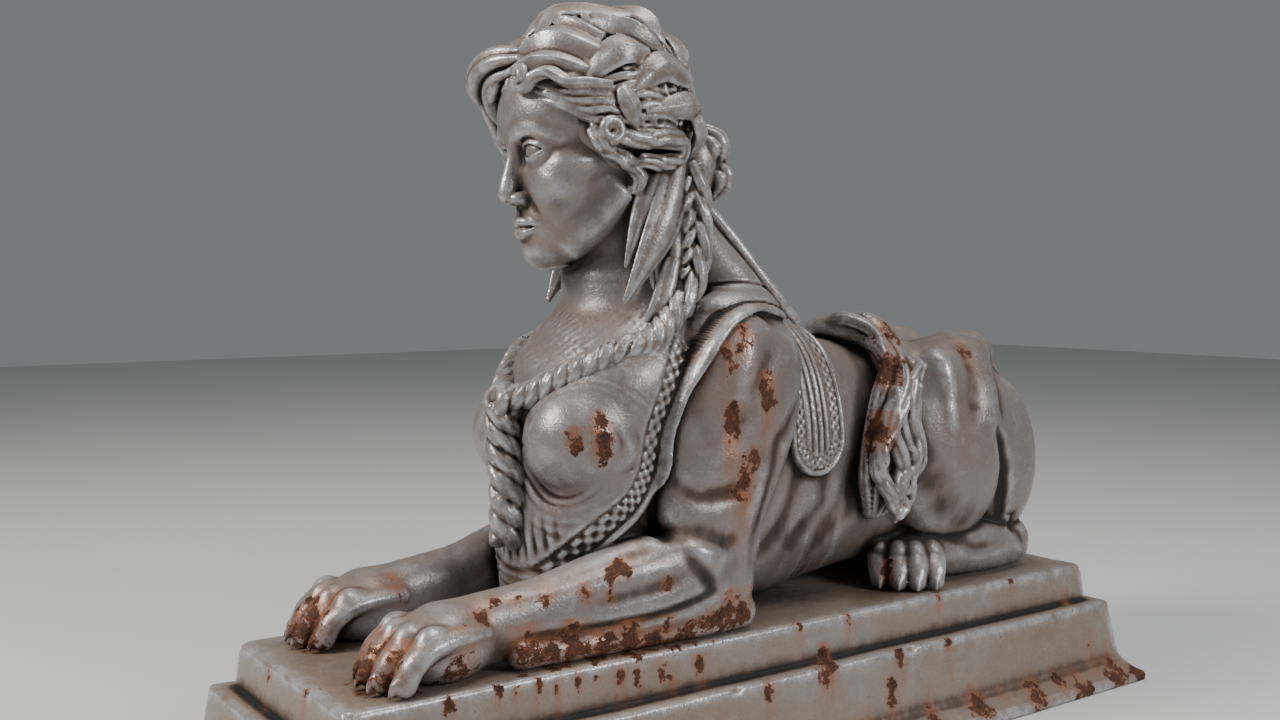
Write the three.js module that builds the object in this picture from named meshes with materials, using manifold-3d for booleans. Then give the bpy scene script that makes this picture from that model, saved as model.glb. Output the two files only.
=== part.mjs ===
// Reclining sphinx in painted cast iron on a stepped plinth.
// Millimetres, +Z up. The origin is the centre of the underside, and the sphinx faces -Y.
import * as THREE from "three";
import { mergeVertices } from "three/addons/utils/BufferGeometryUtils.js";
import Module from "manifold-3d";

const wasm = await Module();
wasm.setup();

// Plinth: a plain slab on a moulded base course.
const SLAB_LENGTH = 1300;
const SLAB_WIDTH = 355;
const SLAB_HEIGHT = 59;
const SLAB_BATTER = 6.5; // how far the slab's foot stands out past its top edge
const LEDGE = 25; // flat step round the slab's foot
const FASCIA_HEIGHT = 78;
const FASCIA_SWELL = 12; // how far the fascia leans out on its way down
const COVE_HEIGHT = 40;
const COVE_REACH = 34;
const FOOT_HEIGHT = 13;
const PLINTH_HEIGHT = SLAB_HEIGHT + FASCIA_HEIGHT + COVE_HEIGHT + FOOT_HEIGHT;

const SEAT_GAP = 0.3; // between the figure's underside and the slab

// Figure: free-form stations below are in millimetres above the slab, for this head height.
const GARMENT_THICKNESS = 8;
const HEAD_HEIGHT = 310; // chin to crown under the hair
const HEAD_CENTRE = new THREE.Vector3(-2, -194, 658); // eye level on the head's axis
const HEAD_TURN = THREE.MathUtils.degToRad(-6); // the face looks a little to its right
const HEAD_NOD = THREE.MathUtils.degToRad(7); // and a little down

const UP = new THREE.Vector3(0, 0, 1);
const OUT = new THREE.Vector3(1, 0, 0);
const FRONT = new THREE.Vector3(0, -1, 0);

// Solids

function solidOf(geometry) {
  const bare = new THREE.BufferGeometry();
  bare.setAttribute("position", geometry.getAttribute("position"));
  if (geometry.index) bare.setIndex(geometry.index);
  const merged = mergeVertices(bare, 1e-3);
  const mesh = { numProp: 3, vertProperties: merged.attributes.position.array };
  return new wasm.Manifold(
    new wasm.Mesh({ ...mesh, triVerts: new Uint32Array(merged.index.array) }),
  );
}

function geometryOf(solid) {
  const { numProp, vertProperties, triVerts } = solid.getMesh();
  const geometry = new THREE.BufferGeometry();
  const interleaved = new THREE.InterleavedBuffer(vertProperties, numProp);
  geometry.setAttribute("position", new THREE.InterleavedBufferAttribute(interleaved, 3, 0));
  geometry.setIndex(new THREE.BufferAttribute(triVerts, 1));
  const flat = geometry.toNonIndexed();
  flat.computeVertexNormals();
  return flat;
}

const join = (solids) => solids.reduce((whole, piece) => whole.add(piece));

// A form and its mirror image: make(side) places its stations at x * side.
const pair = (make) => [1, -1].flatMap((side) => make(side));

const mirrored = (stations, side) => stations.map(([x, ...rest]) => [x * side, ...rest]);

// Closed tube with an oval section along a smooth path. A station is
// [x, y, z, half-width across, half-height towards up]; power above 2 squares the oval.
// The ends taper to a tip, past a shoulder ring where they are rounded.
function limb(stations, options = {}) {
  const { sides = 8, rings = stations.length, up = UP, power = 2, grow = 0, rounded = false } = options;
  const path = new THREE.CatmullRomCurve3(stations.map(([x, y, z]) => new THREE.Vector3(x, y, z)));
  const sizes = new THREE.CatmullRomCurve3(
    stations.map(([, , , a, b]) => new THREE.Vector3(a + grow, b + grow, 0)),
  );
  const bend = (v) => Math.sign(v) * Math.abs(v) ** (2 / power);
  const points = [];
  const section = (t, shift, scale) => {
    const tangent = path.getTangent(t);
    const across = up.clone().cross(tangent).normalize();
    const high = tangent.clone().cross(across).normalize();
    const size = sizes.getPoint(t).multiplyScalar(scale);
    const centre = path.getPoint(t).addScaledVector(tangent, shift);
    for (let k = 0; k < sides; k++) {
      const angle = (2 * Math.PI * k) / sides;
      const point = centre.clone().addScaledVector(across, Math.max(size.x, 1) * bend(Math.cos(angle)));
      points.push(point.addScaledVector(high, Math.max(size.y, 1) * bend(Math.sin(angle))));
    }
  };
  const reach = (t) => (rounded ? 0.6 : 0.4) * Math.min(sizes.getPoint(t).x, sizes.getPoint(t).y);
  const tip = (t, sign) => points.push(path.getPoint(t).addScaledVector(path.getTangent(t), sign * reach(t)));
  tip(0, -1);
  if (rounded) section(0, -0.65 * reach(0), 0.76);
  for (let i = 0; i <= rings; i++) section(i / rings, 0, 1);
  if (rounded) section(1, 0.65 * reach(1), 0.76);
  tip(1, 1);
  return solidOf(skin(points, sides));
}

// Skin over a list of points: a tip, any number of rings and a second tip.
function skin(points, sides) {
  const last = points.length - 1;
  const rings = (last - 1) / sides;
  const index = [];
  const at = (ring, k) => 1 + ring * sides + (k % sides);
  for (let k = 0; k < sides; k++) {
    index.push(0, at(0, k + 1), at(0, k));
    for (let ring = 0; ring < rings - 1; ring++) {
      index.push(at(ring, k), at(ring, k + 1), at(ring + 1, k));
      index.push(at(ring, k + 1), at(ring + 1, k + 1), at(ring + 1, k));
    }
    index.push(last, at(rings - 1, k), at(rings - 1, k + 1));
  }
  const geometry = new THREE.BufferGeometry().setFromPoints(points);
  return geometry.setIndex(index);
}

// Ellipsoid with three half-axes, leaned by degrees about X and turned about Z.
function lump([x, y, z], [rx, ry, rz], options = {}) {
  const { sides = 8, lean = 0, turn = 0, grow = 0 } = options;
  const geometry = new THREE.SphereGeometry(1, sides, Math.max(4, Math.round(0.6 * sides)));
  geometry.rotateX(Math.PI / 2);
  geometry.scale(rx + grow, ry + grow, rz + grow);
  geometry.rotateX(THREE.MathUtils.degToRad(lean));
  geometry.rotateZ(THREE.MathUtils.degToRad(turn));
  geometry.translate(x, y, z);
  return solidOf(geometry);
}

// Twisted rope: a square bar that turns an eighth of a turn at every step along its path.
function rope(points, radius, ridgeSpacing, side) {
  const sides = 4;
  const path = new THREE.CatmullRomCurve3(points.map(([x, y, z]) => new THREE.Vector3(x * side, y, z)));
  const steps = Math.round((2 * path.getLength()) / ridgeSpacing);
  const { normals, binormals } = path.computeFrenetFrames(steps, false);
  const rings = [path.getPointAt(0)];
  for (let i = 0; i <= steps; i++) {
    for (let k = 0; k < sides; k++) {
      const angle = (2 * Math.PI * k) / sides + side * i * (Math.PI / 4);
      const corner = path.getPointAt(i / steps);
      corner.addScaledVector(normals[i], radius * Math.cos(angle));
      rings.push(corner.addScaledVector(binormals[i], radius * Math.sin(angle)));
    }
  }
  rings.push(path.getPointAt(1));
  return solidOf(skin(rings, sides));
}

// Prism across the whole figure from an outline of [y, z] points in the side view.
function crossPrism(outline, halfWidth) {
  const shape = new THREE.Shape(outline.map(([y, z]) => new THREE.Vector2(y, z)));
  const geometry = new THREE.ExtrudeGeometry(shape, { depth: 2 * halfWidth, bevelEnabled: false });
  geometry.translate(0, 0, -halfWidth);
  geometry.applyMatrix4(new THREE.Matrix4().makeBasis(new THREE.Vector3(0, 1, 0), UP, OUT));
  return solidOf(geometry);
}

// Plinth

function plinth() {
  const slabFoot = SLAB_BATTER;
  const fasciaTop = slabFoot + LEDGE;
  const fasciaFoot = fasciaTop + FASCIA_SWELL;
  const coveSteps = 5;
  const levels = [
    [PLINTH_HEIGHT, 0],
    [PLINTH_HEIGHT - SLAB_HEIGHT, slabFoot],
    [PLINTH_HEIGHT - SLAB_HEIGHT, fasciaTop],
    [PLINTH_HEIGHT - SLAB_HEIGHT - FASCIA_HEIGHT, fasciaFoot],
  ];
  for (let i = 1; i <= coveSteps; i++) {
    const angle = (Math.PI / 2) * (i / coveSteps);
    levels.push([
      FOOT_HEIGHT + COVE_HEIGHT * (1 - Math.sin(angle)),
      fasciaFoot + COVE_REACH * (1 - Math.cos(angle)),
    ]);
  }
  levels.push([0, fasciaFoot + COVE_REACH]);
  const points = [new THREE.Vector3(0, 0, PLINTH_HEIGHT)];
  for (const [z, out] of levels) {
    const x = SLAB_WIDTH / 2 + out;
    const y = SLAB_LENGTH / 2 + out;
    for (const [sx, sy] of [[1, -1], [-1, -1], [-1, 1], [1, 1]]) {
      points.push(new THREE.Vector3(sx * x, sy * y, z));
    }
  }
  points.push(new THREE.Vector3(0, 0, 0));
  return solidOf(skin(points, 4));
}

// Body

const TRUNK = [
  [0, -190, 186, 104, 178],
  [0, -60, 214, 126, 211],
  [0, 60, 208, 126, 207],
  [0, 160, 204, 116, 186],
  [0, 260, 204, 110, 176],
  [0, 360, 196, 116, 184],
  [0, 450, 194, 122, 190],
  [0, 530, 188, 112, 166],
  [0, 586, 178, 84, 112],
];

const CHEST = [
  [0, -236, 20, 96, 84],
  [0, -240, 100, 112, 92],
  [0, -234, 180, 124, 94],
  [0, -222, 270, 128, 100],
  [0, -198, 345, 134, 112],
  [0, -166, 402, 114, 104],
  [0, -152, 440, 84, 84],
  [0, -162, 472, 64, 66],
];

const trunk = (grow) => limb(TRUNK, { sides: 12, rings: 8, power: 2.3, grow, rounded: true });
const chest = () => limb(CHEST, { sides: 12, rings: 8, up: FRONT, power: 2.2, grow: GARMENT_THICKNESS });
const breast = (side) => lump([68 * side, -270, 266], [73, 80, 80], { sides: 10, lean: -8 });

function neck() {
  const stations = [
    [0, -150, 400, 88, 84],
    [0, -165, 445, 68, 68],
    [-3, -174, 500, 64, 66],
    [-6, -184, 560, 64, 68],
    [-6, -190, 606, 60, 60],
  ];
  return limb(stations, { up: FRONT, sides: 10, rings: 5 });
}

function upperArm(side) {
  const stations = [
    [108, -42, 432, 62, 34],
    [124, -44, 385, 92, 52],
    [130, -56, 310, 108, 54],
    [130, -78, 230, 104, 50],
    [132, -100, 160, 90, 45],
    [136, -98, 100, 66, 40],
    [138, -90, 50, 44, 32],
  ];
  return limb(mirrored(stations, side), { up: OUT, sides: 9, rings: 7, rounded: true });
}

function foreArm(side) {
  const arm = [
    [140, -78, 56, 34, 46],
    [142, -140, 72, 42, 60],
    [138, -210, 76, 44, 66],
    [130, -290, 68, 41, 58],
    [120, -370, 56, 36, 48],
    [112, -450, 50, 38, 44],
    [112, -500, 50, 44, 38],
  ];
  const hem = [
    [144, -408, 20, 18, 20],
    [148, -330, 17, 16, 17],
    [152, -230, 17, 15, 16],
    [154, -130, 20, 18, 20],
    [150, -70, 26, 24, 26],
  ];
  return [
    limb(mirrored(arm, side), { sides: 9, rings: 8, power: 2.2, rounded: true }),
    limb(mirrored(hem, side), { sides: 5, rings: 4 }),
  ];
}

// Lion's paw: a pad and four arched toes.
// heading is in degrees from straight ahead towards the outside.
function paw([x, y], heading, size) {
  const ahead = new THREE.Vector3(0, -1, 0).applyAxisAngle(UP, THREE.MathUtils.degToRad(heading));
  const across = new THREE.Vector3().crossVectors(ahead, UP);
  const at = (forward, sideways, z) => {
    const p = new THREE.Vector3(x, y, z * size);
    p.addScaledVector(ahead, forward * size).addScaledVector(across, sideways * size);
    return [p.x, p.y, p.z];
  };
  const toes = [-1.5, -0.5, 0.5, 1.5].map((slot) => {
    const spread = 29 * slot;
    const lead = Math.abs(slot) < 1 ? 12 : 0;
    const toe = [
      [...at(-10, 0.85 * spread, 54), 20 * size, 26 * size],
      [...at(42 + lead, spread, 56), 18 * size, 23 * size],
      [...at(68 + lead, 1.04 * spread, 34), 19 * size, 21 * size],
      [...at(78 + lead, 1.06 * spread, 12), 17 * size, 16 * size],
    ];
    return limb(toe, { sides: 5, rings: 3, up: across });
  });
  return [lump(at(4, 0, 40), [58 * size, 64 * size, 46 * size], { turn: heading }), ...toes];
}

function hindLeg(side) {
  const foot = [
    [112, 560, 40, 24, 36],
    [112, 500, 42, 32, 40],
    [106, 420, 48, 38, 46],
    [92, 346, 50, 44, 46],
  ];
  return [
    lump([112 * side, 392, 214], [61, 124, 154], { sides: 10, lean: -8 }),
    lump([96 * side, 512, 190], [60, 88, 136], { sides: 10, lean: 10 }),
    lump([112 * side, 366, 318], [42, 52, 48]),
    limb(mirrored(foot, side), { sides: 7, rings: 3, rounded: true }),
    ...paw([80 * side, 328], 48 * side, 0.92),
  ];
}

// Garment

// Side outline of the bodice, from the shoulder strap round the armhole to the point between the arms.
const BODICE_EDGE = [
  [-40, 470],
  [-110, 419],
  [-146, 356],
  [-172, 280],
  [-184, 219],
  [-212, 172],
  [-273, 128],
  [-350, 90],
];

// Long tongue of the garment that hangs down each flank behind the shoulder.
const FLAP_CENTRE = 96;
const FLAP_HALF_WIDTH = 56;
const FLAP_FOOT = 192;
const FLAP_TOP = 440;

function garment() {
  const front = [...BODICE_EDGE, [-440, 0], [-440, 520], [-40, 520]];
  const tongue = [];
  const steps = 6;
  for (let i = 0; i <= steps; i++) {
    const angle = Math.PI * (1 + i / steps);
    tongue.push([
      FLAP_CENTRE + FLAP_HALF_WIDTH * Math.cos(angle),
      FLAP_FOOT + FLAP_HALF_WIDTH * (1 + Math.sin(angle)),
    ]);
  }
  tongue.push([FLAP_CENTRE + FLAP_HALF_WIDTH, FLAP_TOP], [FLAP_CENTRE - FLAP_HALF_WIDTH, FLAP_TOP]);
  const bodice = join([chest(), breast(1), breast(-1)]);
  return [
    bodice.intersect(crossPrism(front, 200)),
    trunk(GARMENT_THICKNESS).intersect(crossPrism(tongue, 200)),
  ];
}

// Head, in its own frame: the origin at eye level, the face towards -Y.
// The face keeps the classical canon: eyes at half height and three equal thirds from hairline to chin.
const FACE_THIRD = 0.284 * HEAD_HEIGHT;
const CHIN = -HEAD_HEIGHT / 2;
const NOSE_BASE = CHIN + FACE_THIRD;
const BROW = NOSE_BASE + FACE_THIRD;
const MOUTH = NOSE_BASE - FACE_THIRD / 3;

const SKULL = [
  [0, -90, CHIN + 2, 22, 20],
  [0, -80, CHIN + 22, 42, 46],
  [0, -58, MOUTH + 4, 63, 70],
  [0, -42, NOSE_BASE + 11, 73, 87],
  [0, -26, -20, 80, 105],
  [0, -10, 16, 86, 121],
  [0, 0, 52, 92, 130],
  [0, 6, 96, 86, 118],
  [0, 10, 136, 50, 76],
];

function face() {
  const nose = [
    [0, -116, BROW + 4, 10, 14],
    [0, -124, 0, 11, 16],
    [0, -132, -0.5 * FACE_THIRD + 14, 14, 18],
    [0, -138, NOSE_BASE + 14, 16, 16],
  ];
  const lip = (z, height) => [
    [-26, -108, z, 3, 5],
    [-13, -116, z, height, 12],
    [0, -119, z, height, 13],
    [13, -116, z, height, 12],
    [26, -108, z, 3, 5],
  ];
  const sockets = pair((side) => [lump([34 * side, -134, 3], [22, 16, 12])]);
  const skull = limb(SKULL, { up: FRONT, sides: 10, rings: 8, power: 2.15, rounded: true });
  return [
    skull.subtract(join(sockets)),
    limb(nose, { up: FRONT, sides: 6, rings: 3 }),
    limb(lip(MOUTH + 5, 6), { up: FRONT, sides: 4, rings: 4 }),
    limb(lip(MOUTH - 9, 6), { up: FRONT, sides: 4, rings: 4 }),
    lump([0, -104, CHIN + 22], [28, 26, 21], { sides: 7 }),
    ...pair((side) => [lump([33 * side, -108, 1], [20, 19, 13], { sides: 7 })]),
  ];
}

const HAIR_CENTRE = new THREE.Vector3(0, 5, 50);
const HAIR_SHELL = new THREE.Vector3(110, 126, 122);

// Point over the hair in degrees: azimuth from the face towards the left ear, then elevation.
function onHair(azimuth, elevation, lift) {
  const a = THREE.MathUtils.degToRad(azimuth);
  const e = THREE.MathUtils.degToRad(elevation);
  const way = new THREE.Vector3(Math.sin(a) * Math.cos(e), -Math.cos(a) * Math.cos(e), Math.sin(e));
  return way.multiply(HAIR_SHELL).multiplyScalar(lift).add(HAIR_CENTRE);
}

// Leaves of the wreath on the left side:
// azimuth and elevation of the stem, then of the tip, half-width, half-thickness.
const WREATH = [
  [70, 80, 4, 48, 22, 16],
  [66, 30, 4, 30, 24, 16],
  [72, 58, 118, 26, 22, 16],
  [100, 28, 58, 14, 22, 15],
  [136, 10, 84, 6, 22, 15],
  [152, -8, 92, -8, 18, 18],
  [134, -12, 154, -42, 14, 14],
  [172, 44, 138, 18, 24, 16],
];

function leaf([stemAzimuth, stemElevation, tipAzimuth, tipElevation, halfWidth, thickness], side) {
  const stations = [0, 0.5, 1].map((t) => {
    const azimuth = side * THREE.MathUtils.lerp(stemAzimuth, tipAzimuth, t);
    const elevation = THREE.MathUtils.lerp(stemElevation, tipElevation, t);
    const p = onHair(azimuth, elevation, 0.98 + 0.07 * Math.sin(Math.PI * t));
    const fullness = Math.sin(Math.PI * (0.2 + 0.68 * t));
    return [p.x, p.y, p.z, halfWidth * fullness, thickness * fullness];
  });
  const middle = onHair(side * (stemAzimuth + tipAzimuth) / 2, (stemElevation + tipElevation) / 2, 1);
  const outward = middle.sub(HAIR_CENTRE).normalize();
  return limb(stations, { sides: 4, rings: 2, up: outward });
}

function hair() {
  const roll = [
    [-6, -106, 110, 24, 32],
    [52, -132, 98, 29, 32],
    [88, -104, 76, 29, 32],
    [106, -60, 50, 26, 32],
    [110, -4, 34, 24, 30],
    [94, 56, 20, 24, 28],
  ];
  const overEar = [
    [94, -54, 26, 14, 14],
    [106, -14, 0, 18, 22],
    [104, 36, -8, 20, 24],
    [84, 80, -10, 20, 22],
  ];
  const knot = [
    [22, 164, -14, 30, 34],
    [18, 170, -58, 32, 32],
  ];
  const farTemple = [
    [-98, -88, 34, 20, 22],
    [-100, -72, 0, 18, 18],
    [-98, -58, -26, 10, 12],
  ];
  return [
    lump(HAIR_CENTRE.toArray(), HAIR_SHELL.toArray(), { sides: 11 }),
    limb([[0, 60, 10, 84, 60], [0, 84, -40, 62, 44], [0, 92, -92, 44, 30]], { up: FRONT, rings: 3 }),
    lump([0, 138, -34], [50, 44, 58]),
    limb(farTemple, { sides: 6, rings: 3 }),
    ...pair((side) => [
      limb(mirrored(roll, side), { sides: 6, rings: 6 }),
      limb(mirrored(overEar, side), { sides: 6, rings: 4 }),
      ...knot.map(([x, y, z, a, b]) => lump([x * side, y, z], [a, b, 0.8 * b], { sides: 6 })),
      ...WREATH.map((row) => leaf(row, side)),
    ]),
  ];
}

function head() {
  const nod = new THREE.Matrix4().makeRotationX(HEAD_NOD);
  const pose = new THREE.Matrix4().makeRotationZ(HEAD_TURN).multiply(nod).setPosition(HEAD_CENTRE);
  return solidOf(geometryOf(join([...face(), ...hair()])).applyMatrix4(pose));
}

// Hanging hair, ribbons and braids in front of each shoulder.

function fallingHair(side) {
  const ribbons = [
    [
      [88, -124, 640, 9, 20],
      [100, -150, 578, 10, 26],
      [102, -174, 528, 10, 25],
      [96, -220, 448, 5, 8],
    ],
    [
      [76, -156, 624, 16, 14],
      [84, -184, 566, 14, 17],
      [88, -212, 496, 7, 8],
    ],
    [
      [98, -142, 500, 11, 14],
      [106, -168, 444, 12, 19],
      [92, -200, 390, 5, 7],
    ],
  ];
  const mass = [
    [70, -104, 622, 30, 40],
    [76, -118, 550, 30, 42],
    [82, -126, 480, 28, 42],
    [84, -120, 424, 20, 30],
  ];
  const braid = [
    [92, -100, 632],
    [101, -98, 544],
    [112, -116, 476],
    [118, -148, 440],
    [117, -190, 398],
    [109, -234, 386],
    [96, -268, 370],
    [66, -302, 348],
    [34, -330, 326],
    [6, -350, 320],
  ];
  const ribbonLimb = (row) => limb(mirrored(row, side), { up: FRONT, sides: 5, rings: 3 });
  return [
    ...ribbons.map(ribbonLimb),
    limb(mirrored(mass, side), { up: FRONT, sides: 6, rings: 3 }),
    rope(braid, 20, 74, side),
  ];
}

function veil() {
  const stations = [
    [0, -70, 596, 50, 26],
    [0, -30, 545, 68, 27],
    [0, 10, 490, 84, 28],
    [0, 46, 446, 92, 24],
    [0, 74, 422, 92, 16],
  ];
  return limb(stations, { up: new THREE.Vector3(0, 1, 0.6), sides: 8, rings: 5 });
}

// The braids' knot over the breastbone and the plait that hangs from it.
function pendant() {
  const plait = [
    [0, -350, 326],
    [-4, -342, 270],
    [2, -340, 200],
    [0, -342, 130],
  ];
  return [lump([0, -348, 316], [27, 21, 22], { sides: 6 }), rope(plait, 22, 58, 1)];
}

// Tail and its tuft: from the rump up the right flank, over the loin and down the left side.
function tail() {
  const stations = [
    [0, 600, 120, 24, 24],
    [-60, 612, 200, 19, 19],
    [-106, 548, 296, 17, 17],
    [-110, 440, 360, 16, 16],
    [-80, 320, 388, 16, 16],
    [-36, 240, 396, 17, 17],
    [20, 236, 398, 20, 18],
    [70, 262, 388, 24, 20],
    [108, 268, 344, 28, 22],
  ];
  const locks = [
    [
      [104, 252, 360, 18, 18],
      [132, 224, 280, 22, 22],
      [138, 196, 214, 20, 20],
      [132, 180, 140, 8, 8],
    ],
    [
      [108, 276, 350, 20, 18],
      [140, 262, 276, 22, 22],
      [146, 228, 200, 22, 20],
      [142, 196, 132, 8, 8],
    ],
  ];
  return [
    limb(stations, { sides: 5, rings: 12 }),
    ...locks.map((row) => limb(row, { up: OUT, sides: 6, rings: 5 })),
  ];
}

function figure() {
  const forms = [
    trunk(0),
    neck(),
    veil(),
    ...garment(),
    ...pair((side) => [upperArm(side), ...foreArm(side), ...paw([112 * side, -498], 3 * side, 1)]),
    ...pair((side) => [...hindLeg(side), ...fallingHair(side)]),
    ...pendant(),
    ...tail(),
    head(),
  ];
  const belowSlab = crossPrism([[-700, -200], [700, -200], [700, 0], [-700, 0]], 300);
  return join(forms).subtract(belowSlab);
}

// Materials and scene

const paint = new THREE.MeshStandardMaterial({ color: 0xa39d97, roughness: 0.55, metalness: 0.25 });
const plinthPaint = new THREE.MeshStandardMaterial({ color: 0x9a9088, roughness: 0.7, metalness: 0.15 });

function part(name, solid, material) {
  const mesh = new THREE.Mesh(geometryOf(solid), material);
  mesh.name = name;
  return mesh;
}

const statue = new THREE.Group();
const sphinx = part("sphinx_figure", figure(), paint);
sphinx.position.z = PLINTH_HEIGHT + SEAT_GAP;
statue.add(part("plinth", plinth(), plinthPaint), sphinx);

export default statue;
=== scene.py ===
import math

import bpy
import numpy as np
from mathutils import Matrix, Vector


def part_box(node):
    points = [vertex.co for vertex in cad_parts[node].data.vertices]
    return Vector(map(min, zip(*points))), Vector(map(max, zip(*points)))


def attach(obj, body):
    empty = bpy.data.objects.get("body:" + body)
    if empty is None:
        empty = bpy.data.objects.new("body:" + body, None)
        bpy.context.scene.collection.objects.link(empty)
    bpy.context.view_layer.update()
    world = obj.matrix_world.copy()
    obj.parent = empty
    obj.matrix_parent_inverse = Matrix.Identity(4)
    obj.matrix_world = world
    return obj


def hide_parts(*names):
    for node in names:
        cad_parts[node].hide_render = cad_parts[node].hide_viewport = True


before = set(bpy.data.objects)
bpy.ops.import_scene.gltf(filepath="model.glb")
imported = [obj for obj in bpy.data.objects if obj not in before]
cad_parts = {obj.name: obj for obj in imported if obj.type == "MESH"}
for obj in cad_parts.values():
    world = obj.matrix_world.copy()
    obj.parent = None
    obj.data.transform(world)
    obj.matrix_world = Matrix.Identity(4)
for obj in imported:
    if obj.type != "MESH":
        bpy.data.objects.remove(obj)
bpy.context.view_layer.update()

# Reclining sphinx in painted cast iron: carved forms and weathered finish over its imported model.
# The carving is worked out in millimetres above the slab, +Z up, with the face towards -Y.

SLAB_TOP = 1000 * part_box("plinth")[1].z
SEAT_GAP = 0.3
FAR = 1000.0
SHALLOW = 16.0  # how far below the skin a hollow still counts

HEAD_HEIGHT = 310
HEAD_CENTRE = np.array([-2.0, -194.0, 658.0])
HEAD_TURN = math.radians(-6)
HEAD_NOD = math.radians(7)
GARMENT_THICKNESS = 8

UP = (0, 0, 1)
OUT = (1, 0, 0)
FRONT = (0, -1, 0)
SIDES = (1, -1)


# Carving tools

def unit(vector):
    vector = np.array(vector, float)
    return vector / max(np.linalg.norm(vector), 1e-9)


def curve(rows, steps):
    """Rows of numbers as a smooth curve through them, with so many samples a gap."""
    rows = np.array(rows, float)
    if len(rows) == 2:
        rows = np.array([rows[0], (rows[0] + rows[1]) / 2, rows[1]])
    padded = np.vstack([2 * rows[0] - rows[1], rows, 2 * rows[-1] - rows[-2]])
    t = np.arange(steps)[:, None] / steps
    spans = []
    for a, b, c, d in zip(padded, padded[1:], padded[2:], padded[3:]):
        bend = (c - a) * t + (2 * a - 5 * b + 4 * c - d) * t**2 + (3 * b - a - 3 * c + d) * t**3
        spans.append(b + bend / 2)
    return np.vstack(spans + [rows[-1:]])


def flip(rows, side):
    """The same rows on the left side, 1, or the right side, -1."""
    rows = np.array(rows, float)
    rows[:, 0] *= side
    return rows


def soft_min(a, b, blend):
    """Union of two fields with a fillet."""
    if blend <= 0:
        return np.minimum(a, b)
    near = np.maximum(blend - np.abs(a - b), 0) / blend
    return np.minimum(a, b) - near * near * (blend / 4)


def soft_max(a, b, blend):
    return -soft_min(-a, -b, blend)


def ramp(value, start, end):
    t = np.clip((value - start) / (end - start), 0, 1)
    return t * t * (3 - 2 * t)


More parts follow.
